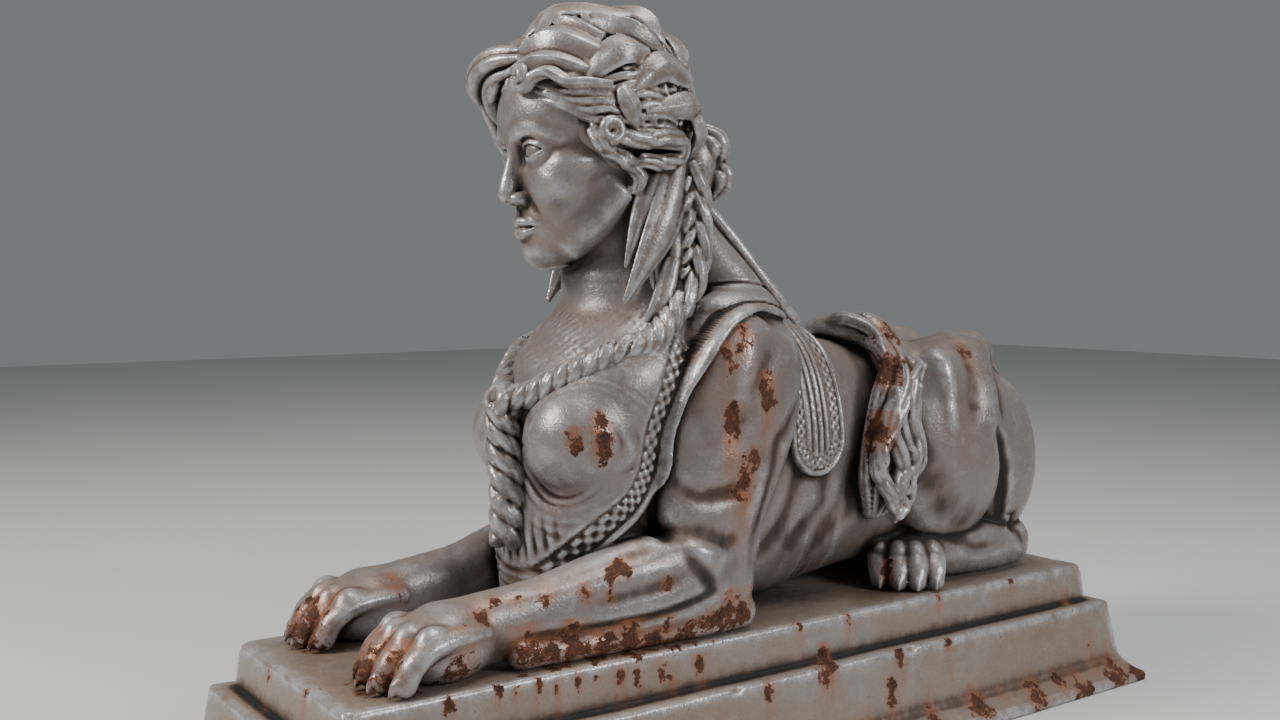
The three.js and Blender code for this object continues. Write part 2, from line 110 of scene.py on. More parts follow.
class Clay:
    """A solid as signed distances on a grid, negative inside."""

    def __init__(self, low, high, step):
        self.low = np.array(low, np.float32)
        self.step = step
        size = np.ceil((np.array(high) - self.low) / step).astype(int) + 1
        self.field = np.full(size, FAR, np.float32)

    def blank(self):
        copy = Clay(self.low, self.low, self.step)
        copy.field = np.full(self.field.shape, FAR, np.float32)
        return copy

    def window(self, low, high):
        """The grid's part between two corners, as slices and sparse coordinates."""
        size = np.array(self.field.shape)
        start = np.clip(np.floor((low - self.low) / self.step).astype(int), 0, size)
        stop = np.clip(np.ceil((high - self.low) / self.step).astype(int) + 1, 0, size)
        if (stop <= start).any():
            return None, None
        cut = tuple(slice(i, j) for i, j in zip(start, stop))
        return cut, self.grid(cut)

    def grid(self, cut):
        ranges = [np.arange(c.start, c.stop, dtype=np.float32) for c in cut]
        axes = [self.low[k] + self.step * ranges[k] for k in range(3)]
        return np.meshgrid(*axes, indexing="ij", sparse=True)

    def everywhere(self):
        return self.grid([slice(0, n) for n in self.field.shape])

    def put(self, cut, near, blend, carve=False):
        if carve:
            self.field[cut] = soft_max(self.field[cut], -near, blend)
        else:
            self.field[cut] = soft_min(self.field[cut], near, blend)

    def tube(self, rows, up=UP, power=2.0, grow=0.0, blend=2.0, steps=3, caps=0.5, grooves=None,
             carve=False):
        """Oval limb along a curve of [x, y, z, half across, half towards up].
        grooves are their number round the limb, their depth and their turns along it."""
        rows = curve(rows, steps)
        centre = rows[:, :3]
        size = np.maximum(rows[:, 3:5] + grow, 0.8)
        spread = size.max(1)[:, None] + max(blend, 6) + 2 * self.step
        cut, _ = self.window(centre.min(0) - spread.max(), centre.max(0) + spread.max())
        if cut is None:
            return
        near = np.full(self.field[cut].shape, FAR, np.float32)
        spans = np.linalg.norm(np.diff(centre, axis=0), axis=1)
        total = spans.sum()
        gone = 0.0
        for i in range(len(centre) - 1):
            a, b = centre[i], centre[i + 1]
            reach = max(spread[i, 0], spread[i + 1, 0])
            part, grid = self.window(np.minimum(a, b) - reach, np.maximum(a, b) + reach)
            if part is None:
                gone += spans[i]
                continue
            way = unit(b - a)
            across = unit(np.cross(up, way))
            high = np.cross(way, across)
            x, y, z = (g - o for g, o in zip(grid, a.astype(np.float32)))
            along = x * way[0] + y * way[1] + z * way[2]
            t = np.clip(along / spans[i], 0, 1)
            over = along - t * spans[i]
            u = (x * across[0] + y * across[1] + z * across[2]).astype(np.float32)
            v = (x * high[0] + y * high[1] + z * high[2]).astype(np.float32)
            half_u = size[i, 0] + t * (size[i + 1, 0] - size[i, 0])
            half_v = size[i, 1] + t * (size[i + 1, 1] - size[i, 1])
            least = np.minimum(half_u, half_v)
            cap = least * (caps if i in (0, len(centre) - 2) else 0.5)
            if power == 2.0:
                ring = (u / half_u) ** 2 + (v / half_v) ** 2
            else:
                ring = (np.abs(u / half_u) ** power + np.abs(v / half_v) ** power) ** (2 / power)
            share = np.sqrt(ring + (over / cap) ** 2)
            radius = np.sqrt(u * u + v * v + over * over)
            bare = radius - np.where(share > 1e-3, radius / np.maximum(share, 1e-3), least)
            if grooves:
                count, depth, turns = grooves
                angle = count * np.arctan2(v / half_v, u / half_u)
                phase = angle + 2 * math.pi * turns * (gone + t * spans[i]) / total
                bare = bare + depth * (1 - np.abs(np.cos(phase / 2)))
            gone += spans[i]
            inner = tuple(slice(p.start - c.start, p.stop - c.start) for p, c in zip(part, cut))
            near[inner] = np.minimum(near[inner], bare)
        self.put(cut, near, blend, carve)

    def stack(self, rows, power=2.0, grow=0.0, blend=2.0, caps=0.5, pose=None):
        """Form of level ovals: rising rows of [x, y, z, half along X, half along Y].
        A pose turns and places it."""
        rows = curve(rows, 8)
        axes, base = pose or (np.eye(3), np.zeros(3))
        centre = rows[:, :3] @ axes.T + base
        spread = rows[:, 3:5].max() + grow + max(blend, 6) + 2 * self.step
        cut, grid = self.window(centre.min(0) - spread, centre.max(0) + spread)
        if cut is None:
            return
        x, y, z = (g - np.float32(o) for g, o in zip(grid, base))
        if pose:
            x, y, z = (x * a[0] + y * a[1] + z * a[2] for a in axes.T)
        mid_x, mid_y, half_x, half_y = (
            np.interp(z, rows[:, 2], rows[:, k]).astype(np.float32) for k in (0, 1, 3, 4))
        over = z - np.clip(z, rows[0, 2], rows[-1, 2])
        u, v = x - mid_x, y - mid_y
        half_x, half_y = half_x + grow, half_y + grow
        ring = (np.abs(u / half_x) ** power + np.abs(v / half_y) ** power) ** (2 / power)
        least = np.minimum(half_x, half_y)
        share = np.sqrt(ring + (over / (caps * least)) ** 2)
        radius = np.sqrt(u * u + v * v + over * over)
        near = radius - np.where(share > 1e-3, radius / np.maximum(share, 1e-3), least)
        self.put(cut, near.astype(np.float32), blend)

    def ball(self, centre, radii, lean=0, turn=0, grow=0.0, blend=2.0, carve=False, pose=None):
        """Ellipsoid, leaned by degrees about X and turned about Z."""
        centre = np.array(centre, float)
        radii = np.array(radii, float) + grow
        spread = radii.max() + max(blend, 6) + 2 * self.step
        cut, grid = self.window(centre - spread, centre + spread)
        if cut is None:
            return
        frame_axes = turned(lean, turn) if pose is None else pose
        x, y, z = (g - np.float32(o) for g, o in zip(grid, centre))
        share = radius = 0
        for axis, half in zip(frame_axes.T, radii):
            part = x * axis[0] + y * axis[1] + z * axis[2]
            share = share + (part / half) ** 2
            radius = radius + part * part
        share, radius = np.sqrt(share), np.sqrt(radius)
        near = radius - np.where(share > 1e-3, radius / np.maximum(share, 1e-3), radii.min())
        self.put(cut, near.astype(np.float32), blend, carve)

    def settled(self, rows):
        """The rows with each place moved onto the skin nearby."""
        rows = np.array(rows, float)
        cells = (rows[:, :3] - self.low) / self.step
        near = ((cells > 2) & (cells < np.array(self.field.shape) - 4)).all(1)
        for _ in range(5):
            value, slope = sample(self.field, cells[near], True)
            move = -value[:, None] * slope / np.maximum((slope**2).sum(1), 0.2)[:, None]
            cells[near] += np.clip(move, -4 / self.step, 4 / self.step)
        rows[:, :3] = self.low + self.step * cells
        return rows

    def crease(self, rows, depth, width, steps=4, settle=False):
        """Groove along a curve, or a ridge where depth is negative, that fades out at both ends."""
        points = curve(rows, steps)
        if settle:
            points = self.settled(points)
        cut, grid = self.window(points.min(0) - 2.6 * width, points.max(0) + 2.6 * width)
        if cut is None:
            return
        near = np.full(self.field[cut].shape, 1e6, np.float32)
        share = np.zeros(near.shape, np.float32)
        count = len(points) - 1
        for i in range(count):
            a, b = points[i], points[i + 1]
            way = b - a
            x, y, z = (g - np.float32(o) for g, o in zip(grid, a))
            t = np.clip((x * way[0] + y * way[1] + z * way[2]) / (way @ way), 0, 1)
            gap = (x - t * way[0]) ** 2 + (y - t * way[1]) ** 2 + (z - t * way[2]) ** 2
            closer = gap < near
            near[closer] = gap[closer]
            share[closer] = ((i + t) / count)[closer]
        fade = np.clip(4 * np.minimum(share, 1 - share), 0, 1)
        self.field[cut] += depth * fade * np.exp(-near / width**2)

    def skin(self):
        """The surface as points and four-cornered faces."""
        field = self.field
        inside = field < 0
        corners = [(i, j, k) for i in (0, 1) for j in (0, 1) for k in (0, 1)]
        nx, ny, nz = (n - 1 for n in field.shape)
        filled = np.zeros((nx, ny, nz), np.uint8)
        for i, j, k in corners:
            filled += inside[i:i + nx, j:j + ny, k:k + nz]
        mixed = (filled > 0) & (filled < 8)
        cells = np.argwhere(mixed)
        number = np.full(mixed.shape, -1, np.int32)
        number[mixed] = np.arange(len(cells))
        total = np.zeros((len(cells), 3))
        crossings = np.zeros(len(cells))
        for axis in range(3):
            step = np.eye(3, dtype=int)[axis]
            for corner in corners:
                if corner[axis]:
                    continue
                start = cells + corner
                stop = start + step
                a, b = field[tuple(start.T)], field[tuple(stop.T)]
                cross = (a < 0) != (b < 0)
                t = np.where(cross, a / np.where(cross, a - b, 1), 0)
                total += cross[:, None] * (start + t[:, None] * step)
                crossings += cross
        points = total / crossings[:, None]
        faces = []
        for axis in range(3):
            low = np.moveaxis(inside, axis, 0)[:-1, 1:-1, 1:-1]
            high = np.moveaxis(inside, axis, 0)[1:, 1:-1, 1:-1]
            ids = np.moveaxis(number, axis, 0)
            i, j, k = np.nonzero(low != high)
            quad = np.stack([ids[i, j, k], ids[i, j + 1, k], ids[i, j + 1, k + 1], ids[i, j, k + 1]], 1)
            outward = low[i, j, k] if axis != 1 else ~low[i, j, k]
            faces.append(np.where(outward[:, None], quad, quad[:, ::-1]))
        faces = np.vstack(faces)
        for _ in range(2):
            value, slope = sample(field, points, True)
            move = -value[:, None] * slope / np.maximum((slope**2).sum(1), 1e-3)[:, None]
            points = points + np.clip(move, -0.4, 0.4)
        return self.low + self.step * points, faces

    def hollows(self, points):
        """How hollow the skin is at some points, close by and further round."""
        found = []
        for reach in (4.0, 14.0, 32.0):
            blurred = blur(np.clip(self.field, -SHALLOW, SHALLOW), max(1, round(reach / self.step)))
            found.append(-sample(blurred, (points - self.low) / self.step, False)[0] / reach)
        return found


def sample(field, points, slopes):
    """The field's value, and its slope by the cell, at points in cells."""
    base = np.clip(np.floor(points).astype(int), 0, np.array(field.shape) - 2)
    part = points - base
    value = np.zeros(len(points))
    slope = np.zeros((len(points), 3))
    for i in (0, 1):
        for j in (0, 1):
            for k in (0, 1):
                f = field[base[:, 0] + i, base[:, 1] + j, base[:, 2] + k]
                w = [part[:, n] if on else 1 - part[:, n] for n, on in enumerate((i, j, k))]
                value += f * w[0] * w[1] * w[2]
                if slopes:
                    slope[:, 0] += f * (1 if i else -1) * w[1] * w[2]
                    slope[:, 1] += f * (1 if j else -1) * w[0] * w[2]
                    slope[:, 2] += f * (1 if k else -1) * w[0] * w[1]
    return value, slope


def blur(field, reach):
    """Mean over a cube of cells."""
    for axis in range(3):
        n = field.shape[axis]
        sums = np.cumsum(field, axis=axis, dtype=np.float64)
        sums = np.insert(sums, 0, 0, axis)
        high = np.minimum(np.arange(n) + reach + 1, n)
        low = np.maximum(np.arange(n) - reach, 0)
        count = (high - low).reshape([-1 if k == axis else 1 for k in range(3)])
        field = ((np.take(sums, high, axis) - np.take(sums, low, axis)) / count).astype(np.float32)
    return field


def turned(lean, turn):
    """Axes of a form leaned about X, then turned about Z, in degrees."""
    a, b = math.radians(lean), math.radians(turn)
    about_x = np.array([[1, 0, 0], [0, math.cos(a), -math.sin(a)], [0, math.sin(a), math.cos(a)]])
    about_z = np.array([[math.cos(b), -math.sin(b), 0], [math.sin(b), math.cos(b), 0], [0, 0, 1]])
    return about_z @ about_x


# Body of a lioness

TRUNK = [
    [0, -190, 186, 104, 178],
    [0, -60, 214, 126, 211],
    [0, 60, 208, 126, 207],
    [0, 160, 204, 116, 186],
    [0, 260, 204, 110, 176],
    [0, 360, 196, 116, 184],
    [0, 450, 194, 116, 178],
    [0, 500, 190, 96, 150],
]
CHEST = [
    [0, -236, 20, 96, 84],
    [0, -240, 100, 112, 92],
    [0, -234, 180, 124, 94],
    [0, -222, 270, 128, 100],
    [0, -198, 345, 134, 112],
    [0, -166, 402, 114, 104],
    [0, -152, 440, 84, 84],
    [0, -162, 472, 64, 66],
]
NECK = [
    [0, -150, 400, 88, 84],
    [0, -165, 445, 68, 68],
    [-3, -174, 500, 64, 66],
    [-6, -184, 560, 64, 68],
    [-6, -190, 606, 60, 60],
]
UPPER_ARM = [
    [108, -42, 432, 62, 34],
    [124, -44, 385, 92, 52],
    [130, -56, 310, 108, 54],
    [130, -78, 230, 104, 50],
    [132, -100, 160, 90, 45],
    [136, -98, 100, 66, 40],
    [138, -90, 50, 44, 32],
]
SHOULDER = [152, -64, 340]
SHOULDER_RADII = [34, 74, 92]
BACK_OF_NECK = [
    [34, -84, 576, 24, 24],
    [52, -56, 520, 32, 32],
    [74, -24, 462, 40, 38],
    [92, 6, 414, 38, 36],
]
FORE_ARM = [
    [140, -78, 56, 34, 46],
    [142, -140, 72, 42, 60],
    [138, -210, 76, 44, 66],
    [130, -290, 68, 41, 58],
    [120, -370, 56, 36, 48],
    [112, -450, 50, 38, 44],
    [112, -500, 50, 44, 38],
]
HEM = [
    [144, -408, 20, 18, 20],
    [148, -330, 17, 16, 17],
    [152, -230, 17, 15, 16],
    [154, -130, 20, 18, 20],
    [150, -70, 26, 24, 26],
]
VEIL = [
    [0, -70, 596, 50, 26],
    [0, -30, 545, 68, 27],
    [0, 10, 490, 84, 28],
    [0, 46, 446, 92, 24],
    [0, 74, 422, 92, 16],
]


def upper_arm(side):
    """The upper arm's level ovals, from the lowest up."""
    return [[x * side, y, z, b, a] for x, y, z, a, b in UPPER_ARM[::-1]]


def shoulder(side):
    return [SHOULDER[0] * side, *SHOULDER[1:]]


def paw(clay, place, heading, size):
    """Lion's paw: a pad and four arched toes with claws. heading is from straight ahead outwards."""
    angle = math.radians(heading)
    ahead = np.array([math.sin(angle), -math.cos(angle), 0])
    across = np.array([-math.cos(angle), -math.sin(angle), 0])

    def at(forward, sideways, z, a, b):
        p = np.array([*place, 0]) + size * (forward * ahead + sideways * across + np.array([0, 0, z]))
        return [*p, a * size, b * size]

    clay.ball(at(4, 0, 40, 1, 1)[:3], [58 * size, 64 * size, 46 * size], turn=heading, blend=14)
    for slot in (-1.5, -0.5, 0.5, 1.5):
        spread = 29 * slot
        lead = 12 if abs(slot) < 1 else 0
        toe = [
            at(-34, 0.75 * spread, 56, 12, 16),
            at(-8, 0.85 * spread, 58, 15, 21),
            at(36 + lead, spread, 55, 15, 22),
            at(64 + lead, 1.04 * spread, 38, 15, 20),
            at(76 + lead, 1.06 * spread, 16, 15, 15),
        ]
        clay.tube(toe, up=across, blend=3, caps=1)
        knuckle = at(40 + lead, spread, 62, 1, 1)[:3]
        clay.ball(knuckle, [14 * size, 18 * size, 15 * size], turn=heading, blend=8)
        claw = [
            at(74 + lead, 1.06 * spread, 26, 7, 7),
            at(88 + lead, 1.06 * spread, 18, 6, 6),
            at(95 + lead, 1.06 * spread, 5, 3, 3),
        ]
        clay.tube(claw, up=across, blend=2)


# Lines between the muscles of the left side, repeated on the right: depth of the groove, negative for
# a ridge, its width, then its course.
MUSCLE_LINES = [
    (10, 15, [[120, 66, 350], [150, 34, 318], [168, 3, 274], [172, -18, 252], [168, -21, 207],
              [163, -34, 161], [165, -56, 123], [172, -66, 70]]),
    (7, 15, [[130, 76, 250], [124, 63, 194], [117, 41, 137], [111, 12, 96], [96, 0, 66]]),
    (8, 14, [[130, -200, 226], [157, -162, 196], [171, -139, 190], [174, -105, 196], [174, -78, 208]]),
    (9, 12, [[104, -196, 142], [151, -190, 138], [161, -153, 128], [172, -123, 124], [177, -88, 134]]),
    (6, 11, [[160, -190, 138], [179, -156, 93], [182, -132, 58]]),
    (5, 13, [[158, -345, 68], [171, -288, 75], [176, -250, 81], [179, -210, 87], [179, -165, 100]]),
    (5, 13, [[130, -400, 92], [142, -330, 106], [150, -260, 118], [160, -200, 124]]),
    (9, 7, [[150, -420, 42], [156, -350, 40], [163, -300, 42], [174, -228, 46], [181, -168, 58],
            [182, -130, 70]]),
    (5, 17, [[112, 187, 225], [109, 170, 157], [107, 138, 125], [107, 99, 90]]),
    (6, 16, [[128, 122, 220], [122, 122, 190], [112, 118, 152], [112, 87, 121], [110, 40, 88]]),
    (5, 16, [[134, 178, 205], [106, 184, 138], [103, 140, 100], [90, 100, 66]]),
    (4, 18, [[132, -10, 398], [160, -60, 360], [176, -90, 300], [176, -100, 240]]),
    (5, 20, [[150, -150, 330], [164, -140, 280], [170, -128, 236]]),
    (-5, 16, [[150, -60, 410], [172, -84, 350], [180, -92, 290]]),
    (-5, 16, [[172, -50, 240], [176, -60, 190], [180, -76, 140]]),
    (15, 11, [[162, 440, 250], [161, 458, 222], [150, 474, 180], [144, 484, 136], [136, 492, 100],
              [128, 496, 80]]),
    (8, 20, [[112, 405, 372], [150, 403, 327], [166, 393, 289], [168, 384, 240]]),
    (-7, 13, [[116, 345, 366], [140, 346, 335], [156, 344, 291], [163, 345, 235]]),
    (-4, 18, [[150, 440, 330], [164, 436, 280], [166, 430, 230]]),
    (7, 14, [[70, 490, 384], [110, 486, 350], [146, 474, 290], [158, 462, 240]]),
    (6, 12, [[118, 360, 62], [138, 400, 62], [143, 430, 50], [140, 500, 52]]),
    (7, 12, [[120, 520, 96], [140, 524, 84], [130, 540, 60], [120, 552, 30]]),
    (4, 22, [[40, 300, 392], [40, 380, 392], [44, 460, 380], [50, 530, 340]]),
    (4, 16, [[0, 110, 408], [0, 180, 402]]),
]


def muscles(clay):
    for depth, width, course in MUSCLE_LINES:
        for side in SIDES:
            clay.crease(flip(course, side), depth, width, settle=True)


def flesh(clay):
    clay.tube(TRUNK, power=2.3, blend=0, caps=0.6)
    clay.stack(CHEST, power=2.2, blend=26)
    clay.stack(NECK, blend=34)
    for side in SIDES:
        clay.ball([36 * side, 486, 192], [88, 128, 178], lean=-4, blend=24)
        clay.ball([16 * side, 528, 172], [92, 96, 144], lean=8, blend=24)
        clay.ball([62 * side, 316, 334], [48, 80, 46], blend=24)
        clay.ball([112 * side, 392, 214], [61, 124, 154], lean=-8, blend=16)
        clay.ball([96 * side, 512, 190], [60, 88, 136], lean=10, blend=14)
        clay.ball([112 * side, 358, 322], [44, 46, 50], blend=18)
        clay.ball([70 * side, 430, 340], [62, 96, 52], lean=14, blend=26)
        clay.tube(flip(BACK_OF_NECK, side), up=FRONT, blend=20, caps=0.8)
        clay.ball(shoulder(side), SHOULDER_RADII, lean=6, blend=20)
        clay.ball([150 * side, -146, 112], [38, 60, 44], blend=16)
        clay.ball([150 * side, -96, 236], [32, 58, 70], blend=18)
        foot = [[112, 560, 40, 24, 36], [112, 500, 42, 32, 40], [106, 420, 48, 38, 46], [92, 346, 50, 44, 46]]
        clay.tube(flip(foot, side), blend=6, caps=0.8)
        paw(clay, [80 * side, 328], 48 * side, 0.92)
        clay.stack(upper_arm(side), blend=9, caps=0.8)
        clay.tube(flip(FORE_ARM, side), power=2.2, blend=10, caps=0.8)
        clay.tube(flip(HEM, side), blend=5, caps=1)
        paw(clay, [112 * side, -498], 3 * side, 1)
    muscles(clay)
    clay.tube(VEIL, up=(0, 1, 0.6), blend=6, steps=6, grooves=(26, 3.5, 0.0))
    for side in SIDES:
        edge = [[54, -66, 590, 7, 8], [76, -28, 540, 7, 8], [92, 12, 486, 7, 8], [100, 48, 444, 7, 8],
                [98, 80, 416, 6, 7]]
        clay.tube(flip(edge, side), blend=3, caps=1)
    tail(clay)


# Locks of the tail's tuft: place across at the top from -1 to 1, foot and top height, drift, sway,
# phase and half-width.
TUFT_LOCKS = [
    (-0.5, 176, 376, -0.2, 11, 0.2, 12),
    (0.3, 196, 372, 0.4, 12, 1.4, 13),
    (0.0, 158, 344, 0.2, 15, 2.6, 13),
    (0.9, 190, 350, 0.0, 9, 0.4, 10),
    (-0.8, 150, 312, 0.1, 14, 0.6, 13),
    (0.8, 150, 318, -0.2, 13, 3.4, 13),
    (-0.2, 128, 284, 0.1, 17, 4.0, 13),
    (0.5, 128, 270, -0.3, 16, 5.6, 13),
    (-1.0, 132, 246, 0.4, 12, 1.8, 12),
    (0.1, 116, 232, 0.2, 14, 0.4, 12),
    (1.0, 130, 228, -0.4, 12, 0.9, 12),
    (-0.8, 112, 196, 0.5, 10, 2.2, 11),
    (0.1, 100, 190, 0.1, 12, 3.3, 11),
    (0.8, 110, 186, -0.4, 9, 5.0, 10),
]


def tail(clay):
    shaft = [
        [40, 552, 104, 18, 18],
        [4, 598, 128, 23, 23],
        [-60, 612, 200, 19, 19],
        [-106, 548, 296, 17, 17],
        [-110, 440, 360, 16, 16],
        [-80, 320, 388, 16, 16],
        [-36, 240, 396, 17, 17],
        [20, 236, 398, 20, 18],
        [70, 262, 388, 24, 20],
        [108, 268, 344, 28, 22],
    ]
    clay.tube(shaft, blend=5, steps=5)
    mass = [[40, 250, 404, 24, 14], [92, 262, 380, 28, 16], [122, 258, 340, 30, 17], [132, 240, 288, 42, 18],
            [132, 232, 220, 50, 19], [126, 230, 165, 46, 18], [114, 226, 122, 22, 12]]
    clay.tube(mass, up=OUT, blend=3, steps=5, power=2.4, caps=0.8, grooves=(12, 4, 1.1))
    for first, foot, height, shift, sway, turn, thick in TUFT_LOCKS:
        rows = []
        for t in np.linspace(0, 1, 9):
            z = height + (foot - height) * t
            centre = np.interp(z, [120, 165, 220, 288, 346, 384], [226, 230, 232, 240, 258, 262])
            half = np.interp(z, [120, 165, 220, 288, 346, 384], [16, 40, 46, 38, 28, 20])
            y = centre + half * (first + shift * t) + sway * math.sin(turn + 6.5 * t)
            plump = math.sin(math.pi * (0.18 + 0.76 * t)) ** 0.6
            rows.append([150, y, z, thick * plump, 1.15 * thick * plump])
        rows = clay.settled(rows)
        rows[:, 0] += 0.7 * thick
        clay.tube(rows, up=OUT, blend=1.5, steps=4, caps=0.8, grooves=(3, 4, 0.9))
    swirls = [
        [[14, 226, 412, 8, 9], [44, 224, 416, 10, 11], [74, 236, 408, 10, 11], [98, 248, 388, 9, 10],
         [120, 242, 356, 8, 9]],
        [[20, 252, 412, 8, 8], [52, 262, 416, 10, 10], [80, 276, 402, 10, 10], [104, 284, 372, 8, 8]],
        [[60, 250, 420, 6, 6], [84, 256, 408, 8, 8], [104, 266, 388, 8, 8], [124, 268, 358, 7, 7],
         [136, 262, 330, 5, 5]],
    ]
    for row in swirls:
        clay.tube(row, blend=2, steps=5, caps=1, grooves=(4, 2.8, 0.6))


# Garment

BODICE_EDGE = [
    [120, 384],
    [64, 408],
    [14, 424],
    [-46, 432],
    [-98, 412],
    [-140, 356],
    [-172, 280],
    [-184, 219],
    [-212, 172],
    [-262, 130],
    [-300, 74],
    [-320, 10],
    [-334, -60],
]
BREAST = [68, -270, 266]
GATHER_HEIGHT = 262
GATHER_PITCH = 17
HANGING_PITCH = 19
BORDER_BEAD = 9.0
YOKE_SCALE = 7.0
FLAP_CENTRE = 96
FLAP_HALF_WIDTH = 56
FLAP_FOOT = 192
FLAP_BEAD = 7.0
FLAP_PLEAT = 13


def beside(outline, y, z):
    """Distance past an outline of [y, z] points, positive on its left, and the length along it."""
    best = np.full(np.broadcast(y, z).shape, 1e9, np.float32)
    past = np.zeros(best.shape, np.float32)
    length = np.zeros(best.shape, np.float32)
    gone = 0.0
    for a, b in zip(outline, outline[1:]):
        way = b - a
        span = np.linalg.norm(way)
        way = way / span
        along = (y - a[0]) * way[0] + (z - a[1]) * way[1]
        t = np.clip(along, 0, span)
        gap = np.sqrt((y - a[0] - t * way[0]) ** 2 + (z - a[1] - t * way[1]) ** 2)
        side = (y - a[0]) * way[1] - (z - a[1]) * way[0]
        closer = gap < best
        best = np.where(closer, gap, best)
        past = np.where(closer, np.where(side > 0, -gap, gap), past)
        length = np.where(closer, gone + t, length)
        gone += span
    return past, length


def lattice(along, across, pitch):
    """Crossed rows of beads, 0 to 1."""
    return 0.5 + 0.5 * np.cos(math.pi * along / pitch) * np.cos(math.pi * across / pitch)


def gathers(x, y, z):
    """Folds that run round each breast and hang straight below, as heights."""
    folds = 0
    for side in SIDES:
        axis = unit([math.sin(math.radians(38)) * side, -math.cos(math.radians(38)), -0.1])
        px, py, pz = x - BREAST[0] * side, y - BREAST[1], z - GATHER_HEIGHT
        along = px * axis[0] + py * axis[1] + pz * axis[2]
        off = np.sqrt(np.maximum(px**2 + py**2 + pz**2 - along**2, 0))
        angle = np.arctan2(pz, px * side)
        wander = 9 * np.sin(2.3 * angle + 0.05 * off) + 5 * np.sin(5.1 * angle + 0.08 * off)
        wave = np.abs(np.cos(math.pi * (off + wander) / GATHER_PITCH))
        broken = 0.55 + 0.45 * np.sin(3.7 * angle + 0.11 * off)
        strength = ramp(off, 40, 76) * (1 - 0.75 * ramp(z, 270, 330)) * (1 - ramp(off, 104, 128)) * broken
        folds = folds + np.where(x * side > 0, 1, 0) * (1 - wave) * strength
    hanging = 1 - np.abs(np.cos(math.pi * (x + 6 * np.sin(z / 21)) / HANGING_PITCH))
    return folds + 1.3 * hanging * (1 - ramp(z, 120, 190)) * (1 - ramp(np.abs(x), 70, 100))


def put_on_bodice(clay):
    """Gathered bodice with a scaly yoke, a bead border and a corded rim."""
    x, y, z = clay.everywhere()
    bodice = clay.blank()
    bodice.stack(CHEST, power=2.2, grow=GARMENT_THICKNESS, blend=0)
    bodice.stack(NECK, grow=2, blend=30)
    for side in SIDES:
        bodice.stack(upper_arm(side), grow=6, blend=8, caps=0.8)
        bodice.ball(shoulder(side), SHOULDER_RADII, lean=6, grow=6, blend=20)
        bodice.tube(flip(BACK_OF_NECK, side), up=FRONT, grow=2, blend=20, caps=0.8)
    for side in SIDES:
        bodice.ball([BREAST[0] * side, *BREAST[1:]], [73, 80, 80], lean=-8, blend=14)
    past, length = beside(curve(BODICE_EDGE, 4), y[0], z[0])
    inward = -past
    plain = 1 - ramp(inward, 42, 54)
    cloth = bodice.field + 3.0 * gathers(x, y, z) * (1 - plain)
    yoke = ramp(z, 352, 384) * (1 - ramp(z, 418, 446)) * ramp(inward, 14, 20)
    around = 150 * np.arctan2(x, -y - 110)
    warp = 5 * np.sin(z / 9 + around / 23) + 4 * np.sin(around / 11 - z / 17)
    uneven = 0.6 + 0.4 * np.sin(around / 19 + z / 13)
    scales = lattice(around + warp, z + 0.8 * warp, YOKE_SCALE) * uneven
    cloth = cloth + yoke * (0.8 - 2.2 * scales)
    band = ramp(inward, 14, 18) * (1 - ramp(inward, 36, 40)) * (1 - ramp(z, 372, 400))
    cloth = cloth + band * (3.2 - 4.4 * lattice(length, inward - 27, BORDER_BEAD))
    cloth = cloth + 2.4 * np.exp(-((inward - 40) / 2.6) ** 2) + 3.2 * np.exp(-((inward - 14) / 2.2) ** 2)
    cloth = cloth - 3.0 * np.clip(1 - ((inward - 6.5) / 6.5) ** 2, 0, 1)
    cloth = soft_max(cloth, past, 4)
    clay.field = soft_min(clay.field, cloth.astype(np.float32), 1.5)


def put_on_flap(clay):
    """Flap with a round foot on each flank, with a cord, beads and pleats."""
    y, z = (grid[0] for grid in clay.everywhere()[1:])
    flap = clay.blank()
    flap.tube(TRUNK, power=2.3, grow=GARMENT_THICKNESS + 3, blend=0, caps=0.6)
    foot = FLAP_FOOT + FLAP_HALF_WIDTH
    sag = np.sqrt((y - FLAP_CENTRE) ** 2 + np.minimum(z - foot, 0) ** 2) - FLAP_HALF_WIDTH
    depth = -sag
    turn = np.arctan2(y - FLAP_CENTRE, np.minimum(z - foot, -1e-3))
    run = np.where(z > foot, z, foot + turn * 45)
    cloth = flap.field
    cord = np.clip(1 - ((depth - 4.5) / 4.5) ** 2, 0, 1)
    cloth = cloth + 2.6 * np.exp(-((depth - 9) / 1.8) ** 2) - 2.5 * cord
    band = ramp(depth, 10, 13) * (1 - ramp(depth, 25, 28))
    cloth = cloth + band * (2.6 - 3.8 * lattice(run, depth - 19, FLAP_BEAD))
    cloth = cloth + 2.4 * np.exp(-((depth - 28) / 2.0) ** 2)
    pleats = 0.5 + 0.5 * np.cos(2 * math.pi * (y - FLAP_CENTRE) / FLAP_PLEAT)
    cloth = cloth + 3.6 * ramp(depth, 29, 33) * pleats
    cloth = soft_max(cloth, sag, 3)
    clay.field = soft_min(clay.field, cloth.astype(np.float32), 1)


def garment(clay):
    put_on_bodice(clay)
    put_on_flap(clay)


# Head. Rows are in its own frame, with the origin at eye level and the face towards -Y.
# The face keeps the classical canon: eyes at half height, and equal thirds from hairline to chin.

FACE_THIRD = 0.284 * HEAD_HEIGHT
CHIN = -HEAD_HEIGHT / 2
NOSE_BASE = CHIN + FACE_THIRD
MOUTH = NOSE_BASE - FACE_THIRD / 3
HEAD_POSE = turned(math.degrees(HEAD_NOD), math.degrees(HEAD_TURN))

